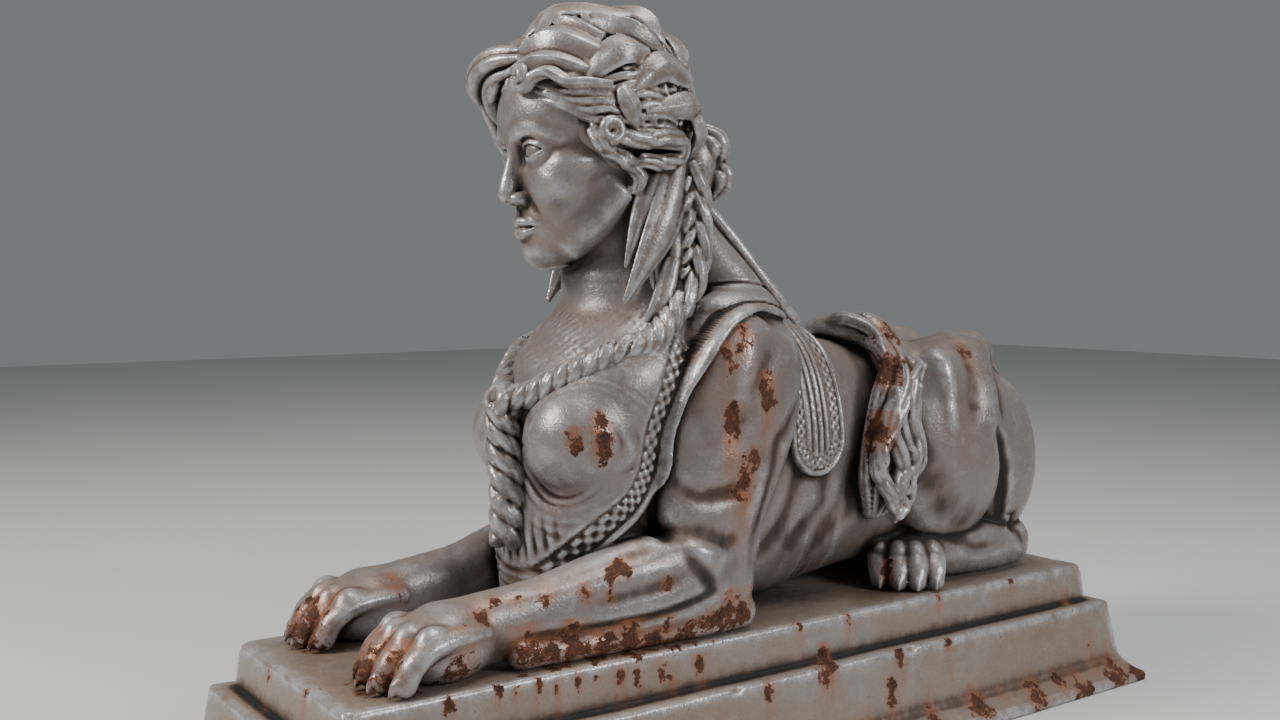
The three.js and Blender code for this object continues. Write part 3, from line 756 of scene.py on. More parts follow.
SKULL = [
    [0, -90, CHIN + 2, 22, 20],
    [0, -80, CHIN + 22, 42, 46],
    [0, -58, MOUTH + 4, 63, 70],
    [0, -42, NOSE_BASE + 11, 73, 87],
    [0, -26, -20, 80, 105],
    [0, -10, 16, 86, 121],
    [0, 0, 52, 92, 130],
    [0, 6, 96, 86, 118],
    [0, 10, 136, 50, 76],
]


def posed(rows):
    """Rows of the head's frame, placed on the neck."""
    rows = np.array(rows, float)
    rows[:, :3] = rows[:, :3] @ HEAD_POSE.T + HEAD_CENTRE
    return rows


def toward(vector):
    return HEAD_POSE @ np.array(vector, float)


def head_tube(clay, rows, up=FRONT, **options):
    clay.tube(posed(rows), up=toward(up), **options)


def head_ball(clay, centre, radii, **options):
    clay.ball(posed([centre])[0], radii, pose=HEAD_POSE, **options)


def head_grid(clay, low, high):
    """The grid's part round a box of the head's frame, with coordinates in that frame."""
    ends = list(zip(low, high))
    corners = posed([[x, y, z] for x in ends[0] for y in ends[1] for z in ends[2]])
    cut, grid = clay.window(corners.min(0), corners.max(0))
    if cut is None:
        return None, None
    x, y, z = (g - np.float32(o) for g, o in zip(grid, HEAD_CENTRE))
    return cut, [x * a[0] + y * a[1] + z * a[2] for a in HEAD_POSE.T]


EYE = [36, -105, 0]
EYEBALL = 22.0
LID = 3.4


def eye(clay, side):
    """Eyeball with two lids round an almond opening."""
    cut, grid = head_grid(clay, [0 if side > 0 else -80, -160, -45], [80 if side > 0 else 0, -60, 45])
    if cut is None:
        return
    x, y, z = grid
    px, py, pz = x - EYE[0] * side, y - EYE[1], z - EYE[2]
    depth = np.sqrt(px**2 + py**2 + pz**2)
    tilt = pz - 0.06 * px * side
    upper = 30.5 - np.sqrt(px**2 + (tilt + 20.5) ** 2)
    lower = 38.0 - np.sqrt(px**2 + (tilt - 30.5) ** 2)
    opening = np.minimum(upper, lower)
    lids = soft_max(depth - EYEBALL - LID - 0.8 * (tilt > 0), opening, 1.2)
    lids = np.where(py < 2, lids, FAR)
    clay.field[cut] = soft_min(clay.field[cut], lids.astype(np.float32), 4)
    clay.field[cut] = soft_min(clay.field[cut], (depth - EYEBALL).astype(np.float32), 0.6)
    fold = [[-17, -19, 11], [-6, -23, 16.5], [8, -22, 17], [20, -14, 11]]
    rows = [[(EYE[0] + u) * side, EYE[1] + v, EYE[2] + w] for u, v, w in fold]
    clay.crease(posed(rows), 2.2, 2.6)


def face(clay):
    clay.stack(SKULL, power=2.15, blend=16, caps=0.3, pose=(HEAD_POSE, HEAD_CENTRE))
    head_ball(clay, [0, -74, 44], [78, 60, 66], blend=30)
    for side in SIDES:
        jaw = [[72, -14, -64, 15, 18], [60, -46, -100, 15, 17], [34, -80, -130, 15, 15]]
        head_tube(clay, flip(jaw, side), blend=22)
        head_ball(clay, [47 * side, -92, -44], [30, 28, 28], blend=24)
        head_ball(clay, [62 * side, -70, -20], [22, 30, 15], blend=20)
        head_ball(clay, [36 * side, -146, 0], [25, 26, 17], blend=14, carve=True)
        head_ball(clay, [17 * side, -140, -5], [9, 17, 17], blend=10, carve=True)
    for side in SIDES:
        brow = [[10, -124, 20, 7, 8], [28, -127, 27, 7, 8], [50, -117, 27, 6, 7], [70, -94, 14, 5, 5]]
        head_tube(clay, flip(brow, side), blend=11)
        eye(clay, side)
    nose = [
        [0, -118, 26, 11, 12],
        [0, -124, 4, 9, 13],
        [0, -134, -24, 9, 14],
        [0, -146, -50, 11, 13],
        [0, -148, NOSE_BASE + 10, 11, 10],
    ]
    head_tube(clay, nose, blend=8, steps=5, caps=0.8)
    for side in SIDES:
        head_ball(clay, [13 * side, -134, NOSE_BASE + 8], [8, 13, 9], blend=5)
        head_ball(clay, [7 * side, -140, NOSE_BASE - 1], [4, 7, 4.5], blend=3, carve=True)
    head_ball(clay, [0, -106, MOUTH + 1], [30, 24, 28], blend=18)
    upper = [[-31, -115, MOUTH + 1, 3, 3], [-17, -130, MOUTH + 5, 6, 6], [-6, -136, MOUTH + 7, 6, 6],
             [0, -136, MOUTH + 5, 6, 6], [6, -136, MOUTH + 7, 6, 6], [17, -130, MOUTH + 5, 6, 6],
             [31, -115, MOUTH + 1, 3, 3]]
    lower = [[-27, -118, MOUTH - 4, 3, 3], [-14, -130, MOUTH - 8, 7, 7], [0, -133, MOUTH - 9, 8, 8],
             [14, -130, MOUTH - 8, 7, 7], [27, -118, MOUTH - 4, 3, 3]]
    head_tube(clay, upper, blend=3, steps=4)
    head_tube(clay, lower, blend=3, steps=5)
    line = [[-34, -112, MOUTH - 1], [-16, -135, MOUTH - 1], [0, -142, MOUTH - 2.5], [16, -135, MOUTH - 1],
            [34, -112, MOUTH - 1]]
    clay.crease(posed(line), 3.2, 2.0)
    clay.crease(posed([[0, -130, NOSE_BASE - 4], [0, -134, MOUTH + 14]]), 3, 4)
    head_ball(clay, [0, -106, CHIN + 22], [25, 22, 20], blend=16)
    clay.crease(posed([[-20, -116, MOUTH - 20], [0, -124, MOUTH - 21], [20, -116, MOUTH - 20]]), 4, 6)
    for side in SIDES:
        fold = [[20, -130, NOSE_BASE + 12], [28, -122, NOSE_BASE - 4], [34, -110, MOUTH + 2]]
        clay.crease(posed(flip(fold, side)), 1.8, 6)


HAIR_CENTRE = np.array([0, 5, 50.0])
HAIR_SHELL = np.array([110, 126, 122.0])


def on_hair(azimuth, elevation, lift):
    """Point over the hair: azimuth from the face to the left ear, then elevation, in degrees."""
    a, e = math.radians(azimuth), math.radians(elevation)
    way = np.array([math.sin(a) * math.cos(e), -math.cos(a) * math.cos(e), math.sin(e)])
    return way * HAIR_SHELL * lift + HAIR_CENTRE


# Leaves of the wreath on the left: stem, middle and tip in the head's frame, half-width and thickness.
LEAVES = [
    [[56, 40, 166], [2, -40, 180], [-24, -92, 148], 21, 14],
    [[84, -24, 138], [44, -50, 162], [-2, -60, 174], 13, 10],
    [[98, -36, 116], [44, -84, 142], [-34, -118, 112], 22, 15],
    [[66, -24, 156], [94, 16, 142], [96, 62, 108], 17, 17],
    [[106, 26, 112], [108, -16, 116], [100, -62, 82], 20, 13],
    [[90, 98, 74], [112, 44, 92], [120, -8, 62], 20, 13],
    [[64, 120, 36], [106, 76, 40], [118, 12, 36], 17, 16],
    [[118, -22, 66], [123, -14, 42], [114, -4, 12], 13, 9],
    [[26, 30, 178], [62, 56, 160], [86, 68, 124], 19, 14],
    [[34, 96, 142], [68, 100, 112], [88, 92, 80], 19, 13],
    [[90, 100, 34], [78, 114, 2], [48, 104, -34], 17, 11],
    [[8, 96, 152], [22, 126, 110], [26, 138, 66], 22, 14],
    [[98, -52, 92], [60, -98, 114], [2, -122, 112], 15, 12],
    [[100, 60, 84], [100, 26, 92], [112, -14, 92], 13, 11],
]
# Where the hair begins round the brow and the ear, as azimuths and elevations.
HAIRLINE = np.array([[0, 17], [17, 12], [40, -1], [62, -10], [90, -16], [125, -24]], float)


def leaf(clay, stem, middle, tip, half_width, thickness, side):
    rows = []
    points = curve([stem, middle, tip], 4)
    for t, p in zip(np.linspace(0, 1, len(points)), points):
        fullness = math.sin(math.pi * (0.16 + 0.81 * t)) ** 0.75
        rows.append([*p, 1.15 * half_width * fullness, 0.92 * thickness * fullness])
    outward = (np.array(middle) - HAIR_CENTRE) / HAIR_SHELL**2
    outward[0] *= side
    head_tube(clay, flip(rows, side), up=outward, power=1.25, blend=0.8, steps=2, caps=0.8)
    vein = points[1:-1] + unit(outward * [side, 1, 1]) * thickness * 0.95
    clay.crease(posed(flip(vein, side)), -2.2, 1.8, steps=2)


def lock(clay, rows, side, count, depth, turns, blend):
    """Lock of hair with grooves between its strands."""
    grooves = (count, depth, turns * side)
    head_tube(clay, flip(rows, side), grooves=grooves, steps=6, blend=blend, caps=0.8)


def strands(clay, side):
    """Wavy strands from the parting over the temple to the ear, and over the crown to the bun."""
    for k in range(6):
        rows = []
        for azimuth in np.linspace(4, 116, 15):
            line = np.interp(azimuth, HAIRLINE[:, 0], HAIRLINE[:, 1])
            wave = 1.5 * math.sin(2 * math.pi * (azimuth / 34 + 0.16 * k))
            elevation = line + 2.5 + k * (2.2 + 0.034 * azimuth) + wave * min(1, azimuth / 30)
            lift = 1.045 + 0.02 * math.sin(2 * math.pi * azimuth / 34 + k)
            rows.append([*on_hair(azimuth * side, elevation, lift), 6.5, 6.5 + 0.01 * azimuth])
        head_tube(clay, rows, blend=1.2, steps=2, grooves=(4, 1.2, 0.5))
    for k in range(9):
        rows = []
        for t in np.linspace(0, 1, 9):
            azimuth = 70 + 14 * k * (1 - 0.6 * t) + 30 * t
            elevation = 84 - (104 - 2 * k) * t + 3 * math.sin(7 * t + k)
            rows.append([*on_hair(min(azimuth, 182) * side, elevation, 1.0), 11, 9])
        head_tube(clay, rows, blend=1.5, steps=2, grooves=(5, 1.6, 0.4))


def back_strands(clay, side):
    """Strands from the crown down the back of the head to the bun."""
    for k in range(5):
        rows = []
        for t in np.linspace(0, 1, 9):
            azimuth = 142 + 9 * k + 4 * math.sin(8 * t + 1.7 * k)
            rows.append([*on_hair(azimuth * side, 78 - 96 * t, 1.02), 9, 10])
        head_tube(clay, rows, blend=1.5, steps=2, grooves=(4, 2.2, 0.7))


def wisps(clay, side):
    """Loose wavy hair over the crown."""
    for k in range(7):
        rows = []
        for t in np.linspace(0, 1, 9):
            azimuth = 16 + 13 * k + 26 * t
            elevation = 70 - 52 * t + 5 * math.sin(9 * t + 2 * k)
            rows.append([*on_hair(azimuth * side, elevation, 1.04), 7.5, 8])
        head_tube(clay, rows, blend=1.2, steps=2, grooves=(3, 1.8, 0.6))


def ear_locks(clay, side):
    """The lock over the ear, the drop below it and the snail curl before it."""
    over_ear = [[98, -56, 26, 9, 11], [108, -28, 8, 13, 14], [108, 6, 2, 15, 15], [104, 42, 0, 15, 15],
                [90, 74, -8, 14, 14], [86, 70, -28, 12, 12], [94, 40, -32, 12, 12], [98, 8, -26, 10, 10]]
    lock(clay, over_ear, side, 5, 3.5, 1.2, blend=1.5)
    drop = [[98, -60, 18, 8, 9], [106, -54, 0, 10, 11], [98, -38, -10, 11, 12], [103, -20, -24, 11, 12],
            [92, -4, -32, 11, 12], [94, 6, -50, 10, 11], [82, 2, -64, 7, 8], [80, -8, -60, 4, 4]]
    lock(clay, drop, side, 3, 4, 1.2, blend=1.5)
    snail = [[116 - 0.4 * t, -42 + (14 - t) * math.cos(t), 16 + (14 - t) * math.sin(t), 6, 6]
             for t in np.arange(-1.5, 9.0, 0.7)]
    head_tube(clay, flip(snail, side), up=OUT, blend=1, steps=2, caps=1)


def brow_locks(clay, side):
    """The scroll of hair below the wreath, and the curl at its start."""
    scroll = [[30, -130, 96, 7, 7], [40, -134, 84, 8, 8], [54, -128, 82, 9, 9], [66, -118, 94, 9, 10],
              [80, -104, 96, 9, 10], [92, -86, 82, 9, 10], [104, -58, 78, 8, 9], [112, -34, 74, 5, 6]]
    lock(clay, scroll, side, 3, 2.5, 0.8, blend=1.2)
    curl = [[34, -128, 104, 7, 8], [52, -130, 104, 9, 9], [58, -134, 94, 7, 7], [48, -137, 90, 4, 4]]
    lock(clay, curl, side, 3, 2, 0.5, blend=1)


def bun_tucks(clay, side):
    for x, y, z, a, b in ([22, 164, -14, 30, 34], [18, 170, -58, 32, 32]):
        tuck = [[x, y - 14, z + b * 0.7, a * 0.5, b * 0.4], [x * 1.2, y, z, a, b * 0.8],
                [x, y - 10, z - b * 0.7, a * 0.5, b * 0.4]]
        lock(clay, tuck, side, 7, 4, 0.8, blend=3)


def far_side_locks(clay):
    """The rolls of hair over the far temple."""
    far_roll = [[6, -104, 124, 14, 14], [-26, -124, 126, 20, 19], [-58, -134, 116, 22, 22],
                [-82, -132, 98, 20, 22], [-92, -124, 80, 14, 16]]
    lock(clay, far_roll, 1, 4, 6, 0.5, blend=1.5)
    under_roll = [[-6, -112, 108, 12, 14], [-40, -122, 104, 18, 20], [-66, -120, 88, 20, 22],
                  [-84, -112, 66, 17, 20], [-90, -104, 46, 12, 14]]
    lock(clay, under_roll, 1, 4, 5, 0.9, blend=1.5)
    swept_back = [[-60, -96, 100, 20, 22], [-96, -84, 76, 20, 24], [-106, -46, 50, 16, 20],
                  [-106, -10, 30, 12, 14]]
    lock(clay, swept_back, 1, 4, 4, 0.5, blend=2)
    temple = [[-92, -112, 62, 14, 16], [-99, -98, 30, 14, 17], [-97, -84, 2, 13, 15],
              [-100, -72, -26, 10, 11], [-96, -60, -44, 6, 6]]
    lock(clay, temple, 1, 4, 4.5, 1.6, blend=1.5)


def hair(clay):
    head_ball(clay, HAIR_CENTRE, HAIR_SHELL, blend=0)
    for side in SIDES:
        wisps(clay, side)
    nape = [[0, 60, 10, 84, 60], [0, 84, -40, 62, 44], [0, 92, -92, 44, 30]]
    lock(clay, nape, 1, 16, 4, 0.5, blend=10)
    for side in SIDES:
        strands(clay, side)
        back_strands(clay, side)
        ear_locks(clay, side)
        brow_locks(clay, side)
        for row in LEAVES:
            leaf(clay, *row, side)
        bun_tucks(clay, side)
    far_side_locks(clay)
    head_ball(clay, [0, 138, -34], [50, 44, 58], blend=4)
    for side in SIDES:
        falling_hair(clay, side)


def twist(clay, rows, radius, lobe, side):
    """Three strands twisted together along a curve of [x, y, z]."""
    path = curve(rows, 8)
    gaps = np.linalg.norm(np.diff(path, axis=0), axis=1)
    length = np.concatenate([[0], np.cumsum(gaps)])
    stations = np.linspace(0, length[-1], int(length[-1] / lobe * 4) + 2)
    centre = np.stack([np.interp(stations, length, path[:, k]) for k in range(3)], 1)
    way = np.gradient(centre, axis=0)
    way /= np.linalg.norm(way, axis=1)[:, None]
    across = np.cross(FRONT, way)
    across /= np.linalg.norm(across, axis=1)[:, None]
    high = np.cross(way, across)
    for strand in range(3):
        phase = side * 2 * math.pi * stations / (3 * lobe) + 2 * math.pi * strand / 3
        u = 0.5 * radius * np.sin(phase)
        v = 0.5 * radius * np.cos(phase)
        points = centre + u[:, None] * across + v[:, None] * high
        thick = np.full(len(points), 0.56 * radius)
        clay.tube(np.column_stack([points, thick, thick]), up=FRONT, blend=0.8, steps=1,
                  grooves=(5, 1.6, -side * length[-1] / (3 * lobe)))


def falling_hair(clay, side):
    """Ribbons, loose hair and a braid in front of one shoulder."""
    mass = [
        [70, -104, 622, 30, 40],
        [76, -118, 550, 30, 42],
        [82, -126, 480, 28, 42],
        [84, -120, 424, 20, 30],
    ]
    clay.tube(flip(mass, side), up=FRONT, blend=3, steps=5, grooves=(9, 5, 0.5 * side))
    ribbons = [
        [[88, -124, 640, 9, 20], [100, -150, 578, 10, 26], [102, -174, 528, 10, 25], [96, -222, 444, 3, 4]],
        [[76, -156, 624, 16, 14], [84, -184, 566, 14, 17], [88, -214, 492, 3, 4]],
        [[98, -142, 500, 11, 14], [106, -168, 444, 12, 19], [92, -202, 386, 3, 4]],
    ]
    for rows in ribbons:
        clay.tube(flip(rows, side), up=FRONT, blend=1.5, steps=5, power=1.7, grooves=(4, 2.5, 0.1 * side))
    braid = [
        [92, -100, 632],
        [101, -98, 544],
        [112, -116, 476],
        [118, -148, 440],
        [117, -190, 398],
        [109, -234, 386],
        [96, -268, 370],
        [66, -302, 348],
        [34, -330, 326],
        [6, -350, 320],
    ]
    twist(clay, flip(braid[:4], side), 17, 40, side)
    twist(clay, flip(braid[3:], side), 18, 21, side)
    inner = [[88, -122, 610], [97, -121, 516], [100, -144, 452]]
    twist(clay, flip(inner, side), 16, 24, -side)


def pendant(clay):
    """The braids' knot over the breastbone and the plait that hangs from it."""
    clay.ball([0, -346, 318], [26, 20, 21], blend=3)
    for side in SIDES:
        knot = [[2, -352, 334, 9, 9], [18, -360, 322, 9, 9], [12, -362, 304, 9, 9], [-4, -356, 300, 8, 8]]
        clay.tube(flip(knot, side), blend=1.5, caps=1)
    twist(clay, [[0, -350, 310], [-5, -348, 270], [3, -346, 200], [0, -344, 128]], 25, 31, 1)


# Pieces: each is one closed skin, and two that meet share the same form there,
# so that each dips under the other's just past the seam.

SEAM_DIP = 3.0
NECK_SEAM = 470
LOIN_SEAM = 166
OVERLAP = 15


def dip(clay, past):
    """Sinks the surface past a seam and ends it after the overlap."""
    clay.field = clay.field + (SEAM_DIP * ramp(past, 0, OVERLAP)).astype(np.float32)
    clay.field = np.maximum(clay.field, past - OVERLAP - 3).astype(np.float32)


def on_slab(clay):
    z = clay.everywhere()[2]
    clay.field = np.maximum(clay.field, -z + 0 * clay.field)


def forequarters(step):
    clay = Clay([-200, -625, -8], [200, LOIN_SEAM + 24, NECK_SEAM + 24], step)
    flesh(clay)
    garment(clay)
    y, z = clay.everywhere()[1:]
    dip(clay, y - LOIN_SEAM)
    dip(clay, z - NECK_SEAM)
    on_slab(clay)
    return clay


def hindquarters(step):
    clay = Clay([-200, LOIN_SEAM - 24, -8], [200, 655, 440], step)
    flesh(clay)
    dip(clay, LOIN_SEAM - clay.everywhere()[1])
    on_slab(clay)
    return clay


def head_and_neck(step):
    clay = Clay([-130, -365, NECK_SEAM - 24], [130, 95, 800], step)
    flesh(clay)
    garment(clay)
    face(clay)
    dip(clay, NECK_SEAM - clay.everywhere()[2])
    return clay


def wreathed_hair(step):
    clay = Clay([-165, -390, 370], [165, 40, 850], step)
    hair(clay)
    return clay


def braids(step):
    clay = Clay([-160, -385, 100], [160, -40, 372 + 24], step)
    for side in SIDES:
        falling_hair(clay, side)
    pendant(clay)
    return clay


SLAB_WIDTH = 355
SLAB_LENGTH = 1300
SLAB_HEIGHT = 59
SLAB_LEAN = 6.5  # how much wider the slab is at its foot than at its top, on each side
WORN_CORNER = 7
WORN_EDGE = 5
# Base course: depth below the slab's top, and how far it stands out past the slab's top edge.
COURSE = [[59, 31.5], [137, 43.5], [146, 45.2], [155, 50.0], [163, 57.5], [171, 66.5], [177, 77.5],
          [190, 77.5]]
# Chipped edges: place and radius.
CHIPS = [[178, -648, 0, 9], [-178, -650, -2, 8], [181, 652, -4, 8], [222, -690, -60, 8],
         [252, -724, -180, 10], [210, -120, -59, 6], [209, 210, -59, 7], [180, -330, 0, 4],
         [181, 320, 0, 5], [180, 90, -1, 4]]


def plinth(step):
    """Plain slab on a moulded base course, with worn edges."""
    clay = Clay([-272, -745, -SLAB_TOP - 14], [272, 745, 14], step)
    x, y, z = clay.everywhere()
    x, y = np.abs(x) - SLAB_WIDTH / 2, np.abs(y) - SLAB_LENGTH / 2
    uneven = 0.5 * np.sin(y / 47 + z / 19) + 0.4 * np.sin(y / 17 - z / 23 + x / 29)
    uneven = uneven + 0.4 * np.sin(x / 13 + y / 31)
    slab_out = -z * SLAB_LEAN / SLAB_HEIGHT
    slab = soft_max(soft_max(x - slab_out, y - slab_out, WORN_CORNER), z - 0.3 * uneven, WORN_EDGE)
    slab = np.maximum(slab, -z - SLAB_HEIGHT - 10)
    course_out = np.interp(-z, *np.array(COURSE).T)
    course = soft_max(soft_max(x - course_out, y - course_out, WORN_CORNER), z + SLAB_HEIGHT, WORN_EDGE)
    field = soft_min(slab + 0.6 * uneven, course + 0.6 * uneven, 4)
    clay.field = np.maximum(field, -z - SLAB_TOP).astype(np.float32)
    for place in CHIPS:
        clay.ball(place[:3], [place[3], 1.6 * place[3], place[3]], blend=2, carve=True)
    return clay


# Shader maths: an expression on a Wire adds its Math nodes.

class Wire:
    def __init__(self, tree, socket):
        self.tree = tree
        self.socket = socket

    def math(self, operation, *others, clamp=False):
        node = self.tree.nodes.new("ShaderNodeMath")
        node.operation = operation
        node.use_clamp = clamp
        for slot, value in zip(node.inputs, others):
            plug(self.tree, slot, value)
        return Wire(self.tree, node.outputs[0])

    def __add__(self, other):
        return self.math("ADD", self, other)

    def __sub__(self, other):
        return self.math("SUBTRACT", self, other)

    def __rsub__(self, other):
        return self.math("SUBTRACT", other, self)

    def __mul__(self, other):
        return self.math("MULTIPLY", self, other)

    def __truediv__(self, other):
        return self.math("DIVIDE", self, other)

    def clamped(self):
        return self.math("ADD", self, 0.0, clamp=True)

    def above(self, start, end):
        """0 below start, 1 above end, straight between."""
        return ((self - start) / (end - start)).clamped()

    __radd__ = __add__
    __rmul__ = __mul__


def plug(tree, slot, value):
    if isinstance(value, Wire):
        tree.links.new(value.socket, slot)
    else:
        slot.default_value = value


class Finish:
    """A material and what adds nodes to it."""

    def __init__(self, name):
        self.material = bpy.data.materials.new(name)
        self.material.use_nodes = True
        self.tree = self.material.node_tree
        self.tree.nodes.clear()

    def node(self, kind, settings=None, inputs=None, output=0):
        node = self.tree.nodes.new("ShaderNode" + kind)
        for key, value in (settings or {}).items():
            setattr(node, key, value)
        for key, value in (inputs or {}).items():
            plug(self.tree, node.inputs[key], value)
        return Wire(self.tree, node.outputs[output])

    def mix(self, factor, a, b):
        return self.node("Mix", {"data_type": "RGBA"}, {0: factor, 6: a, 7: b}, output=2)

    def noise(self, place, scale, detail, roughness=0.55):
        inputs = {"Vector": place, "Scale": scale, "Detail": detail, "Roughness": roughness}
        return self.node("TexNoise", {}, inputs)

    def stored(self, name):
        return self.node("Attribute", {"attribute_name": name}, output=2)


def rgb(r, g, b):
    """An sRGB colour of 0 to 255 as a shader takes it."""
    def linear(v):
        v /= 255
        return v / 12.92 if v <= 0.04045 else ((v + 0.055) / 1.055) ** 2.4
    return (linear(r), linear(g), linear(b), 1)


# The pale ridge colour is a painted highlight on convex ridges as well as worn paint.
WORN_PAINT_AND_RIDGE_HIGHLIGHT = rgb(178, 178, 182)
DUST = rgb(160, 138, 118)
# The brown and the near black below are painted shade in the hollows as well as real soiling.
BROWN_FILM_AND_SHADE = rgb(78, 60, 48)
BLACK_GRIME_AND_SHADE = rgb(24, 18, 14)
RUST_RUN = rgb(150, 84, 42)
RUST_RIM = rgb(140, 92, 60)
RUST = rgb(80, 48, 35)
DARK_RUST = rgb(36, 23, 21)
BRIGHT_RUST = rgb(142, 82, 46)


def weathered_paint(name, paint, warm):
    """Worn pale paint on cast iron, with real soiling and painted shade in the hollows, rust, and painted
    highlights on the ridges.
    """
    f = Finish(name)
    place = f.node("TexCoord", output=3)
    stretched = f.node("Mapping", {}, {"Vector": place, "Scale": (1, 1, 0.12)})
    broad = f.noise(place, 6.0, 3)
    mottle = f.noise(place, 45.0, 5, 0.65)
    fine = f.noise(place, 260.0, 4, 0.6)
    streaks = f.noise(stretched, 70.0, 4, 0.6)
    hollow = f.stored("hollow")
    broad_hollow = f.stored("broad_hollow")
    depth = f.stored("depth")
    rust = f.stored("rust")
    stain = f.stored("stain")
    # The shade spots are painted shade under and behind parts.
    painted_shade = f.stored("painted_shade")
    facing = f.node("SeparateXYZ", {}, {0: f.node("NewGeometry", output=1)}, output=2)

    colour = f.mix(broad.above(0.35, 0.68), paint, warm)
    worn = mottle.above(0.5, 0.72)
    # The pale colour on convex ridges is a painted highlight; the random worn mottle mixed in with it is real
    # wear.
    ridge = (hollow * -9 - broad_hollow * 3 - 0.4 + fine * 0.5).clamped() * mottle.above(0.34, 0.6)
    colour = f.mix((worn * 0.2 + ridge * 0.8).clamped(), colour, WORN_PAINT_AND_RIDGE_HIGHLIGHT)
    dusty = facing.above(0.35, 0.95) * streaks.above(0.3, 0.6)
    colour = f.mix(dusty * 0.4, colour, DUST)
    # Darkening from the hollow masks and the shade spots is painted shade, mixed with random real soiling
    # from the noise: brown first, then near black in the deepest places.
    grime_and_shade = hollow * 9 + broad_hollow * 6 + depth * 3 + (mottle - 0.5) * 1.8 + (streaks - 0.5) * 0.9
    grime_and_shade = grime_and_shade + painted_shade * 2.0
    brown_film_and_shade = grime_and_shade.above(0.1, 1.3)
    colour = f.mix(brown_film_and_shade * 0.85, colour, BROWN_FILM_AND_SHADE)
    black_dirt_and_shade = grime_and_shade.above(1.0, 2.6)
    colour = f.mix(black_dirt_and_shade * 0.97, colour, BLACK_GRIME_AND_SHADE)
    stains = (stain * (streaks * 3.2 - 0.9)).clamped()
    colour = f.mix(stains * 0.85, colour, RUST_RUN)
    flaking = rust * 1.15 + (mottle - 0.5) * 2.8 + (fine - 0.5) * 0.7 - 0.12
    rim = flaking.above(0.34, 0.52)
    colour = f.mix(rim * 0.5, colour, RUST_RIM)
    rusty = flaking.above(0.52, 0.58)
    rust_colour = f.mix(mottle.above(0.56, 0.7), RUST, DARK_RUST)
    rust_colour = f.mix(fine.above(0.52, 0.68) * 0.7, rust_colour, BRIGHT_RUST)
    colour = f.mix(rusty, colour, rust_colour)

    gloss = (0.31 - ridge * 0.1 + brown_film_and_shade * 0.3 + dusty * 0.15 + (fine - 0.5) * 0.3).clamped()
    gloss = f.node("Mix", {"data_type": "FLOAT"}, {0: rusty, 2: gloss, 3: 0.85})
    height = mottle * 0.7 + fine * 0.35 - rusty * 0.9
    normal = f.node("Bump", {}, {"Strength": 0.6, "Distance": 0.0025, "Height": height})
    shader = f.node("BsdfPrincipled", {}, {
        "Base Color": colour,
        "Roughness": gloss,
        "Metallic": 0.35,
        "Normal": normal,
    })
    end = f.tree.nodes.new("ShaderNodeOutputMaterial")
    f.tree.links.new(shader.socket, end.inputs["Surface"])
    return f.material


# Rust patches, most of them on the left: centre, radius, and how far the stain runs down below.
RUST_SPOTS = [
    [169, -84, 387, 30, 60], [165, -107, 368, 28, 70], [151, -135, 362, 18, 40], [181, -48, 324, 30, 100],
    [176, -105, 287, 30, 130], [179, -71, 233, 22, 50], [177, -84, 209, 34, 160], [130, -286, 290, 22, 20],
    [136, -284, 265, 28, 24], [125, -318, 270, 22, 10], [163, -272, 114, 26, 30], [164, -288, 104, 18, 20],
    [160, -326, 83, 18, 20], [149, -375, 87, 20, 15], [143, -412, 85, 14, 15], [133, -440, 88, 18, 10],
    [145, -465, 71, 28, 24], [180, -211, 83, 16, 12], [169, -294, 76, 12, 10],
    [159, -408, 24, 36, 20], [160, -374, 14, 28, 20], [161, -346, 20, 38, 20], [162, -312, 10, 30, 20],
    [163, -290, 16, 24, 20], [164, -258, 12, 34, 20], [165, -226, 8, 26, 20], [165, -200, 14, 32, 20],
    [168, -166, 14, 24, 20], [172, -134, 22, 26, 20], [173, -110, 30, 34, 20], [169, -83, 31, 36, 20],
    [127, 405, 357, 26, 70], [98, 270, 387, 44, 30], [133, 232, 333, 50, 40], [155, 195, 240, 44, 30],
    [112, -586, 14, 52, 10], [142, -572, 14, 50, 10], [82, -584, 18, 46, 10], [146, -500, 28, 44, 10],
    [-112, -586, 22, 54, 10], [-84, -580, 26, 50, 10], [-80, -480, 50, 36, 10], [116, 258, 12, 34, 10],
    [181, -524, -12, 16, 30], [181, -459, -6, 14, 40], [181, -436, -12, 9, 30], [181, -404, -10, 15, 50],
    [182, -380, -18, 10, 50], [182, -347, -14, 15, 40], [182, -322, -20, 9, 50], [182, -287, -22, 17, 50],
    [182, -262, -28, 11, 40], [182, -225, -26, 18, 40], [182, -204, -34, 10, 40], [182, -160, -30, 19, 40],
    [180, 16, -4, 14, 60], [181, 112, -4, 16, 60], [182, 60, -54, 22, 40], [210, 43, -62, 34, 70],
    [212, -66, -66, 18, 90], [212, 182, -70, 20, 90], [212, 288, -62, 16, 80], [214, 160, -120, 26, 60],
    [238, 236, -150, 30, 50],
    [240, 330, -170, 40, 30], [236, 388, -140, 22, 50], [246, 452, -178, 44, 30], [242, 520, -150, 30, 50],
    [250, 560, -180, 40, 30], [236, 618, -128, 34, 60], [250, 660, -172, 50, 30], [252, 712, -184, 40, 30],
    [236, 100, -160, 34, 40], [240, 30, -182, 24, 30], [248, -100, -176, 28, 30],
    [178, 300, -2, 12, 60], [178, 470, -2, 12, 60], [190, 600, -50, 18, 80], [60, -653, -10, 14, 50],
    [-60, -653, -20, 18, 60], [120, -690, -70, 26, 90], [-140, -700, -120, 34, 60],
]


